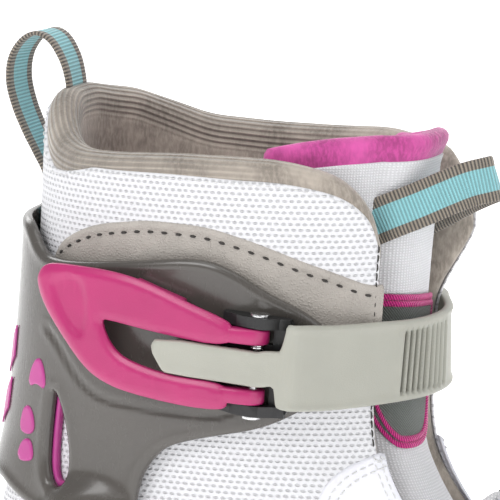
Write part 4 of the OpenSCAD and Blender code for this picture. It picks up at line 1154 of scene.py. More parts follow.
# ---- padded collar and tongue ----


def mesh_gap(a):
    """How far the mesh's upper edge lies under the rim at angle a."""
    fold = np.where(a > 180, 360 - a, a)
    return np.interp(fold, [0, 60, 80, 100, 120, 142, 155, 168, 180], [6, 6.5, 7, 6, 5, 10, 9, 5, 4])


def collar_outline(front_gap, rim_gap, bottom, steps=150):
    """Outline of the collar round the leg, inset from its flaps' edges and from its rim."""
    a0 = flap_medial + front_gap / 0.95
    a1 = 360 - flap_lateral - front_gap / 0.95
    a = np.concatenate([np.linspace(a0, a0 + 12, 14), np.linspace(a0 + 14, a1 - 14, steps),
                        np.linspace(a1 - 12, a1, 14)])
    top = rim_z(a) - rim_gap(a)
    edge = np.minimum(a - a0, a1 - a)
    top -= 5 * np.clip(1 - edge / 6, 0, 1) ** 2
    low = np.stack([leg_u(a), np.full(len(a), bottom)], 1)
    high = np.stack([leg_u(a), top], 1)
    side0 = [(leg_u(flap_a(z, 1) + front_gap), z) for z in np.linspace(bottom, top[0], 40)[1:-1]]
    side1 = [(leg_u(360 - flap_a(z, -1) - front_gap), z) for z in np.linspace(bottom, top[-1], 40)[1:-1]]
    low = low[1:-1]
    return np.vstack([low, side1, high[::-1], side0[::-1]])


def quilting(obj):
    """Marks the pile with its distance over the rim and how deep its ribs are there; that depth also sets the
    painted shade in the grooves.
    """
    mesh = obj.data
    n = len(mesh.vertices)
    e, under, uv = np.empty(n, np.float32), np.empty(n, np.float32), np.empty(len(mesh.loops) * 2, np.float32)
    mesh.attributes["edge"].data.foreach_get("value", e)
    mesh.attributes["under"].data.foreach_get("value", under)
    mesh.uv_layers[0].data.foreach_get("uv", uv)
    index = np.empty(len(mesh.loops), int)
    mesh.loops.foreach_get("vertex_index", index)
    flat = np.empty((n, 2))
    flat[index] = uv.reshape(-1, 2) / MM
    a, down = leg_a(flat[:, 0]), rim_z(leg_a(flat[:, 0])) - flat[:, 1]
    roll = rim_r * np.arccos(1 - np.minimum(e, rim_r) / rim_r) + np.maximum(0, e - rim_r)
    roll = np.where(under > 0.5, -roll, roll)
    back = smooth(1 - (np.abs(a - 180) - 75) / 60)
    depth = back * smooth((15 - np.abs(roll)) / 4) * (down < 26)
    for key, values in (("roll", roll), ("quilted", depth)):
        mesh.attributes.new(key, "FLOAT", "POINT").data.foreach_set("value", values.astype(np.float32))


def collar():
    """Lined and padded collar under its white mesh."""
    def wall(v):
        return mix(upper_wall, collar_wall, smooth((v - ankle_z + 12) / 30))

    def pad_radius(v):
        return mix(2.4, rim_r - 0.1, smooth((v - ankle_z) / 20))

    outline = collar_outline(0, lambda a: 0 * a, ankle_z - 12)
    pad = panel("collar_pad", on_collar, outline,
                lambda e, u, v: -0.4 - np.minimum(round_edge(e, pad_radius(v)), 5.2),
                lambda e, u, v: -wall(v) + np.minimum(round_edge(e, pad_radius(v)), 5.2),
                "ribbed_pile", step=1.7, rings=(0.3, 0.9, 1.8, 3.2, 5.0), slot="taupe_lining",
                replaces=["collar"])
    quilting(pad)
    across_ankle(pad)
    cover = collar_outline(3.2, mesh_gap, seam_z)

    mesh = panel("collar_mesh", on_collar, cover, soft_face(0.45, 0.8),
                 flat_face(-0.5), "spacer_mesh", step=2.2, slot="white_mesh", rings=(0.3, 0.8, 1.6))
    across_ankle(mesh)
    # Dark thread along the outer flap's front edge, stitched so close that it makes an almost unbroken dark
    # line: a stitch row that also stands in as painted shade between the binding and the mesh.
    z = np.linspace(on_leg(190), on_leg(258), 60)
    line = np.stack([leg_u(360 - flap_a(z, -1) - 4.6), z], 1)
    stitches("flap_stitch", on_collar, line, 0.5, "dark_thread", CUFF, "white_mesh", length=2.6, gap=0.5,
             thread=0.6)
    a = np.linspace(flap_medial + 8, 360 - flap_lateral - 8, 500)
    rim = np.stack([leg_u(a), rim_z(a) - mesh_gap(a) - 1.2], 1)
    stitches("rim_stitch", on_collar, rim, 0.5, "white_thread", CUFF, "white_mesh", thread=0.36)


def tongue_half(z):
    """Half angle that the tongue covers at height z."""
    return np.interp(z, [sole_z, split_z, on_leg(250), collar_h - 11], [30, 46, 66, tongue_wing])


def tongue_top(a):
    return collar_h - leg_rise / 138 * (8 + 5 * np.abs(a / tongue_wing) ** 4 + 4.5 * smooth((a - 5) / 30))


def tongue_face(u, v):
    """Depth of the tongue's outer face under the skin."""
    a = leg_a(u)
    swell = -tongue_in + 6 * np.maximum(0, 1 - (np.abs(a) / flap_medial) ** 3)
    swell = swell + 3.5 * smooth(1 - (tongue_top(a) - v) / 13) * np.maximum(0, 1 - np.abs(a / 48) ** 2)
    return mix(-upper_wall - face_gap, swell, smooth((v - ankle_z + 12) / 30))


def on_tongue(u, z, d):
    """Point d out of the tongue's outer face."""
    return skin(z, leg_a(u), tongue_face(u, z) + d)


def tongue_outline(inset_side, inset_top, bottom):
    """Outline of the tongue, wider on the outer side, inset from its sides and its top."""
    top_a = np.linspace(-tongue_wing, tongue_wing, 70)
    top_z = tongue_top(top_a) - inset_top
    keep = (top_a < 42 - inset_side) & (-top_a < tongue_half(top_z) - inset_side)
    top = np.stack([leg_u(top_a[keep]), top_z[keep]], 1)
    z = np.linspace(bottom, top[0, 1] - 3, 40)
    right = np.stack([leg_u(np.minimum(tongue_half(z), 43) - inset_side), z], 1)
    left = np.stack([leg_u(inset_side - tongue_half(z)), z], 1)
    return rounded_line(np.vstack([right, top[::-1], left[::-1]]), times=1)


def tongue():
    """Tongue lined with pink pile, under a white mesh face."""
    def thin(u):
        return 1 - 0.5 * np.abs(leg_a(u) / tongue_wing) ** 3

    outline = tongue_outline(0, 0, vamp_z - 5)
    pad = panel("tongue_lining", on_tongue, outline,
                lambda e, u, v: -0.5 - np.minimum(round_edge(e, 4.3), 4.0) * thin(u),
                lambda e, u, v: -tongue_t * thin(u) + np.minimum(round_edge(e, 4.3), 4.0) * thin(u),
                "pink_pile", step=2.2, rings=(0.3, 1.0, 2.2, 4.0), slot="pink_lining",
                replaces=["tongue_upper", "tongue_lower"])
    across_ankle(pad)
    face = tongue_outline(4.5, 8.5, vamp_z - 4)
    mesh = panel("tongue_mesh", on_tongue, face, soft_face(0.1, 0.7),
                 flat_face(-0.8), "fine_knit", step=2.4, slot="white_mesh")
    across_ankle(mesh)


badge_turn = -9.0
BADGE = [[0, 7], [0.05, 12], [0.15, 16.5], [0.3, 20], [0.6, 23], [0.92, 25], [0.97, 24], [1, 21]]


def badge_outline():
    """Shield shape of the badge, round the tongue."""
    f, half = np.array(BADGE).T
    right = np.stack([leg_u(badge_turn + half), on_leg(mix(187, 236, f))], 1)
    left = np.stack([leg_u(badge_turn - half), on_leg(mix(187, 240, f))], 1)
    return rounded_line(np.vstack([right, left[::-1]]), times=2)


def badge():
    """Twill badge with a braided edge and a second braided ring inside it."""
    outline = badge_outline()
    panel("badge_cloth", on_tongue, outline, lambda e, u, v: 1.1 - round_edge(e, 0.6) + 0.25 * smooth(e / 6),
          flat_face(0.1), "twill", CUFF, step=1.8, slot="badge_twill", replaces=["tongue_badge"])
    for name, inset, radius, lift in (("badge_border_outer", 0.8, 1.1, 1.0),
                                      ("badge_border_inner", 2.9, 1.1, 1.25)):
        points, out = offset_line(outline, on_tongue, inset, lift, step=0.6)
        points = np.vstack([points, points[:2]])
        verts, faces, uv = tube_mesh(points, radius, 8, up=out.mean(0), squash=0.55)
        shade(add_object(name, verts, faces, CUFF, "badge_twill", uv=uv), "braided_edge")


PANEL_TOP = np.array([[38, 244.5], [41, 245.5], [50, 249], [61, 253], [75, 259], [88, 263.5], [100, 264],
                      [116, 261], [126, 257], [136, 251], [141, 240]])


def leather_panels():
    """Beige leather panels behind the strap, with a rolled upper edge."""
    for side, word in ((-1, "lateral"), (1, "medial")):
        fold = np.linspace(flap_lateral + 1 if side < 0 else flap_medial + 6, 141, 60)
        a = 360 - fold if side < 0 else fold
        tops = [np.interp(np.maximum(38, fold + k), PANEL_TOP[:, 0], PANEL_TOP[:, 1]) for k in (-3, 0, 3)]
        top = on_leg(np.mean(tops, axis=0))
        low = on_leg(np.full(len(a), 206.0))
        order = np.argsort(a)
        outline = np.vstack([np.stack([leg_u(a), low], 1)[order], np.stack([leg_u(a), top], 1)[order][::-1]])

        def rolled(e, u, v):
            return 0.75 - round_edge(e, 0.7) + 0.75 * np.exp(-((e - 1.7) / 1.1) ** 2)

        panel(f"leather_{word}", on_collar, outline, rolled, flat_face(0.3), "grained_leather", CUFF,
              step=1.8, rings=(0.3, 0.8, 1.7, 2.6, 3.6), slot="beige_leather",
              replaces=[f"collar_panel_{word}"])
        line = np.stack([leg_u(a), top - 3.7], 1)[order][2:-2]
        stitches(f"leather_stitch_{word}", on_collar, line, 0.8, "dark_thread", CUFF, "beige_leather",
                 length=2.0, gap=3.0, thread=0.95)


# ---- webbing pull loops ----


def webbing_band(name, route, across, node):
    """Ribbed webbing along a route, with raised edges."""
    route = np.asarray(route, float)
    fine = curved(np.hstack([route, across]), 0.35)
    line, wide = fine[:, :3], fine[:, 3:]
    wide = wide / np.linalg.norm(wide, axis=1, keepdims=True)
    along = np.gradient(line, axis=0)
    along /= np.linalg.norm(along, axis=1, keepdims=True)
    wide -= (wide * along).sum(1, keepdims=True) * along
    wide /= np.linalg.norm(wide, axis=1, keepdims=True)
    out = np.cross(wide, along)
    length = np.concatenate([[0], np.cumsum(np.linalg.norm(np.diff(line, axis=0), axis=1))])
    rib = 0.5 + 0.5 * np.cos(2 * math.pi * length / 1.05)
    across_at = np.array([-1, -0.985, -0.93, -0.8, -0.6, -0.54, -0.3, 0, 0.3, 0.54, 0.6, 0.8, 0.93, 0.985, 1])
    thick = np.array([0.25, 0.6, 0.95, 1.0, 0.92, 0.8, 0.84, 0.86, 0.84, 0.8, 0.92, 1.0, 0.95, 0.6, 0.25])
    turn = np.concatenate([across_at, across_at[::-1]])
    level_ = np.concatenate([thick, -thick[::-1]]) * webbing_t / 2
    rows = []
    for k in range(len(line)):
        w = turn * (webbing_w / 2 - 0.12 + 0.12 * rib[k])
        h = level_ * (0.86 + 0.14 * rib[k])
        rows.append(line[k] + wide[k] * w[:, None] + out[k] * h[:, None])
    n = len(turn)
    verts = np.vstack(rows)
    faces = grid_faces(len(line), n, wrap=True)
    faces += [list(range(n))[::-1], list(range((len(line) - 1) * n, len(line) * n))]
    uv = np.stack(np.broadcast_arrays(length[:, None], (turn * webbing_w / 2)[None]), -1).reshape(-1, 2)
    obj = add_object(name, verts, faces, CUFF, "webbing", replaces=[node], uv=uv)
    return shade(obj, "woven_webbing")


def pull_loops():
    """Webbing loops behind the collar and on the tongue."""
    slot_x = leg_x - 0.45 * leg_len
    path = [[-75.6, 277], [-79.3, 284], [-83, 292.5], [-85, 301], [-84, 309], [-80, 315], [-75, 317.5],
            [-70, 315.5], [-66, 309.5], [-64, 303]]
    route = [[float(skin(on_leg(z), 180, 1)[0]) - 0.3, 0, on_leg(z)] for z in (246, 254, 262, 270)]
    route += [[leg_x + x, 0, on_leg(z)] for x, z in path] + [[slot_x, 0, on_leg(z)] for z in (297, 286)]
    n = len(route) - 1
    across = np.array([[0.14 * max(0, math.sin(math.pi * (i - 2) / (n - 4))), 1, 0] for i in range(n + 1)])
    webbing_band("heel_webbing", route, across, "heel_loop")
    path = [[49.5, -21.3, 262], [52.4, -18.7, 263.5], [59, -18.6, 266.5], [66, -15.5, 269.5],
            [73, -10.5, 272.8], [79, -5, 275.4], [84, 0, 276.6], [85.6, 3.5, 276.8], [84, 7, 275.8],
            [78, 10, 273], [71, 13, 269.5], [64.5, 15.5, 265.8], [58.5, 16.9, 262.5], [54.8, 17.5, 260.5]]
    route = np.array([[leg_x + x, y * leg_w / 94, on_leg(z)] for x, y, z in path])
    webbing_band("tongue_webbing", route, np.tile([-0.3, 0, 0.95], (len(route), 1)), "tongue_loop")
    low = float(on_leg(249))
    a = np.linspace(176.5, 183.5, 12)
    for k in range(3):
        line = np.stack([leg_u(a), np.full(len(a), low + 3 * k)], 1)
        stitches(f"heel_loop_stitch_{k}", on_shaft, line, 1.7, "dark_thread", CUFF, "webbing")


# ---- cuff ----

ARM = [[-92, 259], [-66, 258.5], [-61, 256], [-56, 249.5], [-50, 247], [-20, 250.5], [3, 253.5], [14, 250],
       [24, 243], [33, 238.5], [40, 233], [42.6, 228], [43.4, 221], [42, 213], [39.5, 208], [35.5, 205],
       [21.5, 197], [3, 193], [-10, 189], [-15, 184], [-19, 178], [-21, 170], [-21, 163.5]]
WINDOW = [[-52.5, 196], [-51.2, 203], [-49.6, 203], [-47, 196], [-45.5, 188], [-45, 180], [-46, 172.5],
          [-50, 170], [-53, 171], [-54.5, 177], [-54, 186]]
MARKS = ([[-61, 202], [-59.5, 209], [-56, 214], [-53.5, 210], [-53, 202], [-57, 204.5]],
         [[-65.5, 187], [-63, 196], [-59.5, 195.5], [-58, 188], [-61.5, 185.5]],
         [[-66.5, 177], [-64, 184], [-60, 185], [-58.5, 178], [-62.5, 176.5]])
GROOVE = [[-52, 224], [-47, 219], [-41, 210], [-35, 204.5], [-28, 202.4], [-12, 201.2], [3, 200],
          [14, 203], [24, 210]]


def hub_line(side, r, a0, a1, steps=16):
    """Arc of a circle about the ankle axis, laid out round the leg."""
    turn = np.radians(np.linspace(a0, a1, steps))
    x, z = pivot[0] + r * np.cos(turn), pivot[2] + r * np.sin(turn)
    a = angle_at(z, x)
    return np.stack([leg_u(a if side > 0 else 360 - a), z], 1)


def on_cuff(u, z, d):
    """Point d out of the leg, flattened into a disc round each ankle pivot."""
    p = skin(z, leg_a(u), d)
    r = np.hypot(p[..., 0] - pivot[0], p[..., 2] - pivot[2])
    flat = smooth((hub_r + 9 - r) / 10) * smooth((split_z + 24 - z) / 12)
    side = np.sign(p[..., 1])
    aim = side * (hub_in + (d - cuff_gap) * 1.2)
    p[..., 1] = mix(p[..., 1], aim, flat)
    return p


def dense(points, step=2.0):
    """The points, with more between them."""
    return resample(np.asarray(points, float), step, closed=False)


def cuff_outline():
    """Outline of the cuff, laid out round the leg from the outer side past the back."""
    ends = np.array([[-92.0, 172], [-74, 168]])
    sides = []
    for side in (-1, 1):
        arm = rounded_line(np.array(ARM, float), closed=False, times=2)
        arm[:, 1] = on_leg(arm[:, 1])
        top = side_points(dense(arm), side)
        hub = hub_line(side, hub_r, 28, -205, 40)
        back = side_points(dense(ends[::-1]), side)
        sides.append(np.vstack([top, hub, back]))
    lateral, medial = sides
    return np.vstack([lateral[1:], medial[::-1][1:]])[::-1]


def ankle_cuff():
    """Glossy moulded cuff with its pressed lines and the lining seen through its windows."""
    outline = cuff_outline()
    windows, holes = [], []
    for side in (-1, 1):
        window = rounded_line(np.array(WINDOW, float), times=2)
        window[:, 1] = on_leg(window[:, 1])
        windows.append(side_points(window, side))
        holes.append(hub_line(side, 4.1, 0, 345, 24))
    lines = [side_points(dense(rounded_line(np.array(GROOVE, float), closed=False, times=2)), side)
             for side in (-1, 1)]

    def top(e, u, v):
        d = cuff_out - round_edge(e, 1.5)
        for line in lines:
            away = line_distance(u, v, line)
            d = d - 0.75 * np.exp(-(away / 0.8) ** 2) + 0.3 * np.exp(-((away - 2.2) / 1.0) ** 2)
        a = leg_a(u)
        spine = smooth((13 - np.abs(a - 180)) / 3) * smooth((e - 2) / 2)
        rim = 0.35 * np.exp(-((e - 2.4) / 1.3) ** 2)
        return d + rim + 0.35 * spine

    panel("ankle_cuff", on_cuff, outline, top, lambda e, u, v: cuff_gap + round_edge(e, 0.5), "cuff_plastic",
          CUFF, holes=windows + holes, step=1.6, rings=(0.25, 0.7, 1.4, 2.4, 3.4), slot="grey_plastic",
          replaces=["cuff"])
    for side, window in zip((-1, 1), windows):
        middle = window.mean(0)
        outer = middle + (window - middle) * (1.18, 1.06)
        inner = middle + (window - middle) * (0.72, 0.92)
        panel(f"window_trim_{side % 3}", on_shaft, outer, soft_face(cuff_gap - 0.15, 0.5),
              flat_face(1.2), "inlay_plastic", CUFF, holes=[inner], step=1.0, rings=(0.3, 0.8),
              slot="pink_inlay")
    for side in (-1, 1):
        for k, mark in enumerate(MARKS):
            shape = rounded_line(np.array(mark, float), times=2)
            shape[:, 1] = on_leg(shape[:, 1])
            panel(f"cuff_mark_{side % 3}_{k}", on_cuff, side_points(shape, side),
                  soft_face(cuff_out + 0.65, 0.4), flat_face(cuff_out - 0.3),
                  "inlay_plastic", CUFF, step=1.0, rings=(0.3, 0.8), slot="pink_inlay")
    seat = rounded_line(np.array([[-24, -18], [14, -18], [14, 18], [-24, 18]], float), times=3)
    panel("buckle_seat", from_buckle, seat, soft_face(-0.1, 1.0), flat_face(-6.0),
          "cuff_plastic", CUFF, step=1.5, slot="grey_plastic")


# ---- strap ----

tail_z = 6.2
tooth_h = 0.7
tail_w = 11.5
strap_seat = cuff_out + 1.1
STRAP_D = np.array([[-66, 15], [-58, 11.5], [-50, 8], [-43, 5.2], [-36, 2.9], [-28, 1.4], [-20, 0.7],
                    [22, 0.7], [30, 1.6], [37, 3.8], [43, 6.3], [49, strap_seat], [120, strap_seat]])


class StrapRoute:
    """The strap's middle line, with its directions across and out."""

    def __init__(self):
        lift = tail_z + tooth_h + strap_t / 2
        tail_x = (-36, -29, -22, -15, -8, -1, 4, 8, 13, 16.5)
        points = [from_buckle(x, -0.2 if x < 6 else 0.7, lift) for x in tail_x]
        for a in range(-54, 95, 8):
            z = on_leg(218.2 if a < 0 else 218.2 + a * 0.03)
            d = strap_t / 2 + np.interp(a, STRAP_D[:, 0], STRAP_D[:, 1]) * cuff_out / 6.2
            points.append(skin(z, a, d))
        self.line = curved(np.array(points), 0.5)
        self.s = np.arange(len(self.line)) * 0.5
        gap = np.linalg.norm(self.line - points[7], axis=1)
        self.start = self.s[gap.argmin()]
        lean = np.array([math.sin(BUCKLE_TILT), 0, math.cos(BUCKLE_TILT)])
        f = np.clip((self.s - self.start) / 60, 0, 1)[:, None]
        up = lean * (1 - f) + np.array([0, 0, 1.0]) * f
        along = np.gradient(self.line, axis=0)
        along /= np.linalg.norm(along, axis=1, keepdims=True)
        self.up = up - (up * along).sum(1, keepdims=True) * along
        self.up /= np.linalg.norm(self.up, axis=1, keepdims=True)
        self.out = np.cross(along, self.up)

    def place(self, s, w, d):
        """Point s along the strap, w up from its middle and d out of it."""
        pick = [np.stack([np.interp(s, self.s, table[:, k]) for k in range(3)], -1)
                for table in (self.line, self.up, self.out)]
        return pick[0] + pick[1] * np.asarray(w)[..., None] + pick[2] * np.asarray(d)[..., None]

    def s_at(self, a):
        """Length along the strap at angle a round the leg."""
        gap = np.linalg.norm(self.line - skin(on_leg(218.2), a, 2), axis=1)
        return self.s[gap.argmin()]


def power_strap():
    """Moulded strap with its toothed tail, its lips and its narrow slots."""
    route = StrapRoute()
    s0 = route.start
    h, half = strap_w / 2, tail_w / 2
    end = route.s[-1]
    tip = s0 - 41
    outline = [[tip, 2], [tip + 2, half], [s0 - 3, half], [s0 + 2.6, half], [s0 + 3.4, half + 0.7],
               [s0 + 5.0, h + 1.6], [s0 + 6.6, h + 2.6], [s0 + 34, h + 1.8], [s0 + 62, h + 0.2],
               [end - 4, h], [end - 1.2, h - 1.2], [end, h - 5], [end, 5 - h], [end - 1.2, 1.2 - h],
               [end - 4, -h],
               [s0 + 4.6, -h], [s0 + 3.6, 1 - h], [s0 + 2.4, -half - 0.7], [s0 + 1.6, -half], [s0 - 3, -half],
               [tip + 6, -half], [tip + 4.5, 1.2 - half]]
    outline = rounded_line(np.array(outline[::-1], float), times=1)
    holes = []
    for k in range(9):
        s = route.s_at(-24 + 3.1 * k)
        slot = np.array([[-0.55, 2.6 - h], [0.55, 2.6 - h], [0.55, h - 2.6], [-0.55, h - 2.6]])
        slot[:, 0] += s + slot[:, 1] * 0.1
        holes.append(rounded_line(resample(slot, 0.7), times=1))

    def top(e, s, w):
        lip = 0.45 * np.exp(-((e - 1.1) / 0.7) ** 2) * smooth((s - s0 - 6) / 3)
        return strap_t / 2 - round_edge(e, 0.8) + lip - 0.18 * smooth((e - 2) / 1.5)

    def low(e, s, w):
        teeth = tooth_h * np.clip(((s - tip - 6) % 3) / 2.1, 0, 1) * (((s - tip - 6) % 3) < 2.1)
        on_tail = (s < s0 - 4) & (s > tip + 6)
        return -strap_t / 2 + round_edge(e, 0.6) - teeth * on_tail

    panel("power_strap", route.place, outline, top, low, "strap_plastic", CUFF, holes=holes, step=1.25,
          rings=(0.25, 0.7, 1.2, 1.9), slot="strap_plastic", replaces=["strap"])


# ---- ratchet buckle ----

LEVER = [[-75.7, 21.2], [-78.3, 17.5], [-78.4, 14], [-74.9, 7.3], [-68, 0], [-61, -6.7], [-57, -9.8],
         [-53, -12.1], [-46, -14.2], [-37.7, -15.1], [-27, -15.6], [-16.4, -15.8], [-6, -15], [-5, -12.6],
         [-5, -6.2], [-26.3, -6.8], [-41.2, -4.6], [-46.4, -2], [-50, 2.1], [-52.2, 7], [-50.5, 7.7],
         [-30.7, 6.6], [-5, 5.8], [-5, 13.2], [-11.4, 15.5], [-19.3, 17.5], [-30.9, 20.9], [-41.4, 23.1],
         [-52, 23.6], [-62, 23], [-70, 22.3]]
lever_top = 10.2
lever_bend = 180.0
lever_t = 3.4
arm_in = tail_w / 2 + 1.7
arm_out = arm_in + 5.0
pin_x = 2.0
pin_z = 4.2
arm_r = 3.9


def lever_z(x):
    return lever_top - np.minimum(0, x + 4) ** 2 / (2 * lever_bend)


def lever():
    """Pink ratchet lever: a bent plate with bevelled edges and two arms to its pin."""
    outline = rounded_line(np.array(LEVER, float), times=2)

    def on_lever(x, y, d):
        return from_buckle(x, y, lever_z(x) + d)

    grip = [[-72, 17], [-72.5, 14], [-68, 6], [-60, -1], [-57.5, 3], [-58, 12], [-60, 19], [-66, 20]]
    grip = rounded_line(np.array(grip, float), times=2)

    def top(e, x, y):
        inner = edge_distance(np.stack([x, y], 1), [grip])
        sign = np.where(inside(np.stack([x, y], 1), grip), 1, -1)
        dish = -0.7 * smooth((inner * sign + 0.6) / 1.6)
        return -1.1 * np.clip(1 - e / 2.3, 0, 1) ** 1.6 + dish

    plate = panel_mesh(on_lever, outline, top, lambda e, x, y: -lever_t + round_edge(e, 0.8), (), 1.3,
                       (0.25, 0.7, 1.3, 2.3))
    turn = np.radians(60 - 25 * np.arange(9))
    arm = [[-16, lever_top - lever_t], [-16, lever_top - 0.9], [-4, lever_top - 0.3], [2.5, lever_top - 1.4]]
    arm += [[pin_x + arm_r * math.cos(t), pin_z + arm_r * math.sin(t)] for t in turn]
    arm += [[-8, lever_top - lever_t]]
    arm = rounded_line(np.array(arm[::-1], float), times=1)
    parts = [plate[:3]]
    for side in (-1, 1):
        middle = side * (arm_in + arm_out) / 2
        wide = (arm_out - arm_in) / 2
        made = panel_mesh(lambda x, z, d: from_buckle(x, middle - d, z), arm,
                          soft_face(wide, 0.8), lambda e, x, z: round_edge(e, 0.8) - wide,
                          (), 1.2, (0.25, 0.8))
        parts.append(made[:3])
    skirt = np.array([[-41, 22.2], [-23.5, 18.2], [-23.5, 17.0], [-41, 21.0]], float)
    made = panel_mesh(lambda x, y, d: from_buckle(x, y, lever_z(x) + d), skirt, flat_face(-0.8),
                      lambda e, x, y: e * 0 - 7.5 + round_edge(e, 0.5), (), 0.8, (0.2,))
    parts.append(made[:3])
    verts, faces, uv = joined(parts)
    obj = add_object("ratchet_lever", verts, faces, "lever_body", "pink_plastic", replaces=["lever"], uv=uv)
    shade(obj, "lever_plastic")


# ---- inside and underneath ----


def footbed():
    """Cupped footbed with a knitted top."""
    a = np.arange(0, 360, 3.0)
    outline = skin(sole_z + 4, a, -upper_wall - 0.5)[:, :2]
    low, high = box_mm("footbed")
    thick = high[2] - low[2]

    def place(x, y, d):
        return np.stack([x, y, low[2] + d], -1)

    panel("footbed_top", place, outline, lambda e, x, y: thick - 0.9 * smooth(e / 14) - round_edge(e, 0.8),
          flat_face(0.1), "footbed_cloth", BOOT, step=4, slot="footbed_foam",
          rings=(0.3, 0.8, 2), replaces=["footbed"])


def rigid_parts():
    """Blade, holder, sole, metalwork and the small moulded parts."""
    for node, finish_name, bevel in (
        ("runner", "blade_steel", 0.25), ("runner_bolts", "plated_steel", 0.25),
        ("blade_holder", "sole_plastic", 0.9), ("sole_plate", "sole_plastic", 1.2),
        ("sole_rivets", "plated_steel", 0.3), ("eyelets", "plated_steel", 0.2),
        ("pivot_pin_lateral", "plated_steel", 0.35), ("pivot_pin_medial", "plated_steel", 0.35),
        ("strap_screw", "plated_steel", 0.3), ("strap_nut", "plated_steel", 0.3),
        ("buckle_rivets", "plated_steel", 0.25), ("lever_pin", "plated_steel", 0.4),
        ("lever_spring", "plated_steel", 0), ("pawl_pin", "plated_steel", 0.1),
        ("pawl_spring", "plated_steel", 0), ("lace_lock_spring", "plated_steel", 0),
        ("lace_lock", "black_plastic", 0.6), ("lace_lock_button", "black_plastic", 0.5),
        ("lace_pull_tab", "black_plastic", 0.8), ("buckle_base", "black_plastic", 0.4),
        ("pawl", "lever_plastic", 0.3), ("spine_inlays", "inlay_plastic", 0.2),
    ):
        keep_node(node, finish_name, bevel)


# ---- stage ----


def look_at(obj, point):
    obj.rotation_euler = (Vector(point) - obj.location).to_track_quat("-Z", "Y").to_euler()


def stage(light):
    """Pale floor and backdrop, soft lights and the camera."""
    mesh = bpy.data.meshes.new("floor")
    turn = np.radians(np.linspace(0, 90, 17))
    profile = [(-6.0, 0.0), (2.4, 0.0)] + [(2.4 + 1.2 * math.sin(t), 1.2 - 1.2 * math.cos(t)) for t in turn]
    profile += [(3.6, 7.0)]
    verts = [(x, y, z) for y, z in profile for x in (-9.0, 9.0)]
    faces = [(2 * k, 2 * k + 1, 2 * k + 3, 2 * k + 2) for k in range(len(profile) - 1)]
    mesh.from_pydata(verts, [], faces)
    mesh.shade_smooth()
    bpy.context.scene.view_settings.view_transform = "Standard"
    floor = bpy.data.objects.new("floor", mesh)
    bpy.context.scene.collection.objects.link(floor)
    look = Finish("floor_paper", (0.95, 0.95, 0.95), 0.85)
    look.shader.inputs["Emission Color"].default_value = (1, 1, 1, 1)
    look.shader.inputs["Emission Strength"].default_value = 0.6
    look.bump(look.noise(900, 2), 0.00002)
    mesh.materials.append(look.made)
    world = bpy.context.scene.world or bpy.data.worlds.new("studio")
    bpy.context.scene.world = world
    world.use_nodes = True
    world.node_tree.nodes["Background"].inputs["Color"].default_value = (1, 1, 1, 1)
    world.node_tree.nodes["Background"].inputs["Strength"].default_value = light.surround
    middle = Vector((-0.02, 0, 0.2))
    for name, at, size, power in (
        ("key", (-0.6, -1.5, 1.5), 1.1, light.key), ("fill", (1.6, -0.9, 0.9), 1.4, light.fill),
        ("rim", (-1.2, 1.0, 1.3), 1.0, light.rim), ("top", (0.1, -0.1, 1.9), 1.2, light.top),
    ):
        lamp = bpy.data.lights.new(name, "AREA")
        lamp.size = size
        lamp.energy = power
        obj = bpy.data.objects.new(name, lamp)
        bpy.context.scene.collection.objects.link(obj)
        obj.location = at
        look_at(obj, middle)
    camera = bpy.data.cameras.new("camera")
    camera.lens = light.lens
    camera.sensor_width = 36
    obj = bpy.data.objects.new("camera", camera)
    bpy.context.scene.collection.objects.link(obj)
    a, e = light.azimuth, light.elevation
    back = Vector((math.sin(a) * math.cos(e), -math.cos(a) * math.cos(e), math.sin(e)))
    target = Vector(light.target)
    obj.location = target + back * light.distance
    obj.rotation_euler = (-back).to_track_quat("-Z", "Y").to_euler()
    bpy.context.scene.camera = obj


# ---- the add-on ----


def colour_property(name, description, default):
    return FloatVectorProperty(name=name, description=description, default=default, size=3,
                                         min=0, max=1, subtype="COLOR")


class SkateColours(bpy.types.PropertyGroup):
    mesh: colour_property("Mesh", "White spacer mesh", (0.80, 0.80, 0.83))
    lining: colour_property("Lining", "Brushed pile in the collar", (0.40, 0.35, 0.30))
    leather: colour_property("Leather", "Panels behind the strap", (0.50, 0.46, 0.42))
    tongue_lining: colour_property("Tongue lining", "Brushed pile in the tongue", (0.56, 0.07, 0.31))
    eyestay: colour_property("Eyestay", "Coated leather", (0.86, 0.85, 0.87))
    webbing: colour_property("Webbing", "Stripe of the pull loops", (0.30, 0.70, 0.76))
    badge: colour_property("Badge", "Twill of the badge", (0.18, 0.20, 0.185))
    border: colour_property("Badge border", "Stitching of the badge", (0.74, 0.008, 0.27))
    cuff: colour_property("Cuff", "Moulded cuff and heel counter", (0.085, 0.077, 0.069))
    strap: colour_property("Strap", "Moulded strap", (0.40, 0.40, 0.35))
    lever: colour_property("Lever", "Ratchet lever", (0.47, 0.022, 0.15))
    inlay: colour_property("Inlay", "Window trim and spine marks", (0.50, 0.05, 0.28))
    buckle: colour_property("Buckle", "Buckle base and lace lock", (0.012, 0.012, 0.013))
    sole: colour_property("Sole", "Sole plate and blade holder", (0.10, 0.098, 0.095))


class SkateStage(bpy.types.PropertyGroup):
    azimuth: FloatProperty(name="Azimuth", description="Camera's turn from the outer side to the toe",
                           default=math.radians(23), subtype="ANGLE")
    elevation: FloatProperty(name="Elevation", description="Camera's angle above level",
                             default=math.radians(10), subtype="ANGLE")
    distance: FloatProperty(name="Distance", description="Camera to its target", default=1.6, unit="LENGTH")
    lens: FloatProperty(name="Lens", description="Focal length in millimetres", default=345.0, min=20)
    target: FloatVectorProperty(name="Target", description="Point that the camera looks at",
                                          default=(-0.043, 0.0, 0.2475), subtype="TRANSLATION", unit="LENGTH")
    key: FloatProperty(name="Key", description="Key light in watts", default=19.0, min=0)
    fill: FloatProperty(name="Fill", description="Fill light in watts", default=8.0, min=0)
    rim: FloatProperty(name="Rim", description="Light from behind in watts", default=8.0, min=0)
    top: FloatProperty(name="Top", description="Light from above in watts", default=8.0, min=0)
    surround: FloatProperty(name="Surround", description="Strength of the surrounding light", default=0.36,
                            min=0)


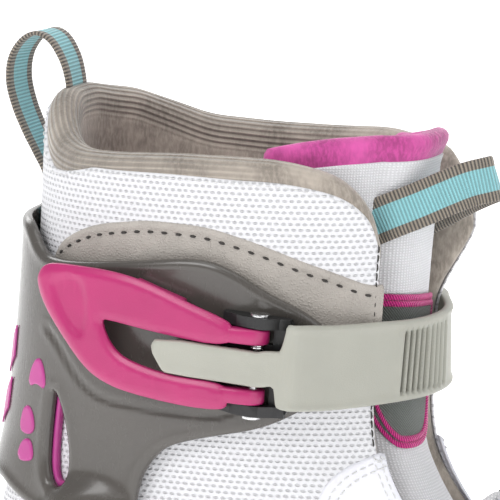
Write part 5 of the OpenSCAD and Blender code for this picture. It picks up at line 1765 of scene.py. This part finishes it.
class SKATE_OT_lower_boot(bpy.types.Operator):
    """White mesh and lining of the foot"""

    bl_idname = "skate.lower_boot"
    bl_label = "Lower boot"

    def execute(self, context):
        lower_boot()
        return {"FINISHED"}


class SKATE_OT_toe_and_heel(bpy.types.Operator):
    """Toe cap and heel counter"""

    bl_idname = "skate.toe_and_heel"
    bl_label = "Toe and heel"

    def execute(self, context):
        toe_and_heel()
        return {"FINISHED"}


class SKATE_OT_collar(bpy.types.Operator):
    """Padded collar and its mesh"""

    bl_idname = "skate.collar"
    bl_label = "Collar"

    def execute(self, context):
        collar()
        return {"FINISHED"}


class SKATE_OT_tongue(bpy.types.Operator):
    """Lined tongue"""

    bl_idname = "skate.tongue"
    bl_label = "Tongue"

    def execute(self, context):
        tongue()
        return {"FINISHED"}


class SKATE_OT_badge(bpy.types.Operator):
    """Badge on the tongue"""

    bl_idname = "skate.badge"
    bl_label = "Badge"

    def execute(self, context):
        badge()
        return {"FINISHED"}


class SKATE_OT_leather_panels(bpy.types.Operator):
    """Leather behind the strap"""

    bl_idname = "skate.leather_panels"
    bl_label = "Leather panels"

    def execute(self, context):
        leather_panels()
        return {"FINISHED"}


class SKATE_OT_eyestays(bpy.types.Operator):
    """Eyestays and their stitching"""

    bl_idname = "skate.eyestays"
    bl_label = "Eyestays"

    def execute(self, context):
        eyestays()
        return {"FINISHED"}


class SKATE_OT_lacing(bpy.types.Operator):
    """Braided lace"""

    bl_idname = "skate.lacing"
    bl_label = "Lace"

    def execute(self, context):
        lacing()
        return {"FINISHED"}


class SKATE_OT_pull_loops(bpy.types.Operator):
    """Webbing loops at the back and on the tongue"""

    bl_idname = "skate.pull_loops"
    bl_label = "Pull loops"

    def execute(self, context):
        pull_loops()
        return {"FINISHED"}


class SKATE_OT_ankle_cuff(bpy.types.Operator):
    """Moulded cuff, its windows and the buckle's seat"""

    bl_idname = "skate.ankle_cuff"
    bl_label = "Cuff"

    def execute(self, context):
        ankle_cuff()
        return {"FINISHED"}


class SKATE_OT_power_strap(bpy.types.Operator):
    """Toothed strap"""

    bl_idname = "skate.power_strap"
    bl_label = "Strap"

    def execute(self, context):
        power_strap()
        return {"FINISHED"}


class SKATE_OT_lever(bpy.types.Operator):
    """Ratchet lever"""

    bl_idname = "skate.lever"
    bl_label = "Lever"

    def execute(self, context):
        lever()
        return {"FINISHED"}


class SKATE_OT_footbed(bpy.types.Operator):
    """Footbed inside the boot"""

    bl_idname = "skate.footbed"
    bl_label = "Footbed"

    def execute(self, context):
        footbed()
        return {"FINISHED"}


class SKATE_OT_rigid_parts(bpy.types.Operator):
    """Finishes of the blade, sole and metalwork"""

    bl_idname = "skate.rigid_parts"
    bl_label = "Blade and metalwork"

    def execute(self, context):
        rigid_parts()
        return {"FINISHED"}


class SKATE_OT_stage(bpy.types.Operator):
    """Floor, lights and camera"""

    bl_idname = "skate.stage"
    bl_label = "Stage"

    def execute(self, context):
        stage(context.scene.skate_stage)
        return {"FINISHED"}


OPERATORS = (
    SKATE_OT_stage,
    SKATE_OT_lower_boot,
    SKATE_OT_toe_and_heel,
    SKATE_OT_collar,
    SKATE_OT_tongue,
    SKATE_OT_badge,
    SKATE_OT_leather_panels,
    SKATE_OT_eyestays,
    SKATE_OT_lacing,
    SKATE_OT_pull_loops,
    SKATE_OT_ankle_cuff,
    SKATE_OT_power_strap,
    SKATE_OT_lever,
    SKATE_OT_footbed,
    SKATE_OT_rigid_parts,
)


class SKATE_PT_sidebar(bpy.types.Panel):
    """Lists the skate's pieces and their colours"""

    bl_idname = "SKATE_PT_sidebar"
    bl_label = "Ice skate"
    bl_space_type = "VIEW_3D"
    bl_region_type = "UI"
    bl_category = "Skate"

    def draw(self, context):
        for operator in OPERATORS:
            self.layout.operator(operator.bl_idname)
        for group in (context.scene.skate_colours, context.scene.skate_stage):
            box = self.layout.box()
            for key in group.__annotations__:
                box.prop(group, key)


CLASSES = (SkateColours, SkateStage) + OPERATORS + (SKATE_PT_sidebar,)


def register():
    for made in CLASSES:
        bpy.utils.register_class(made)
    bpy.types.Scene.skate_colours = PointerProperty(type=SkateColours)
    bpy.types.Scene.skate_stage = PointerProperty(type=SkateStage)


def unregister():
    del bpy.types.Scene.skate_stage
    del bpy.types.Scene.skate_colours
    for made in reversed(CLASSES):
        bpy.utils.unregister_class(made)


def main():
    """Registers the add-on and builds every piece."""
    register()
    for operator in OPERATORS:
        group, name = operator.bl_idname.split(".")
        getattr(getattr(bpy.ops, group), name)()


if __name__ == "__main__":
    main()
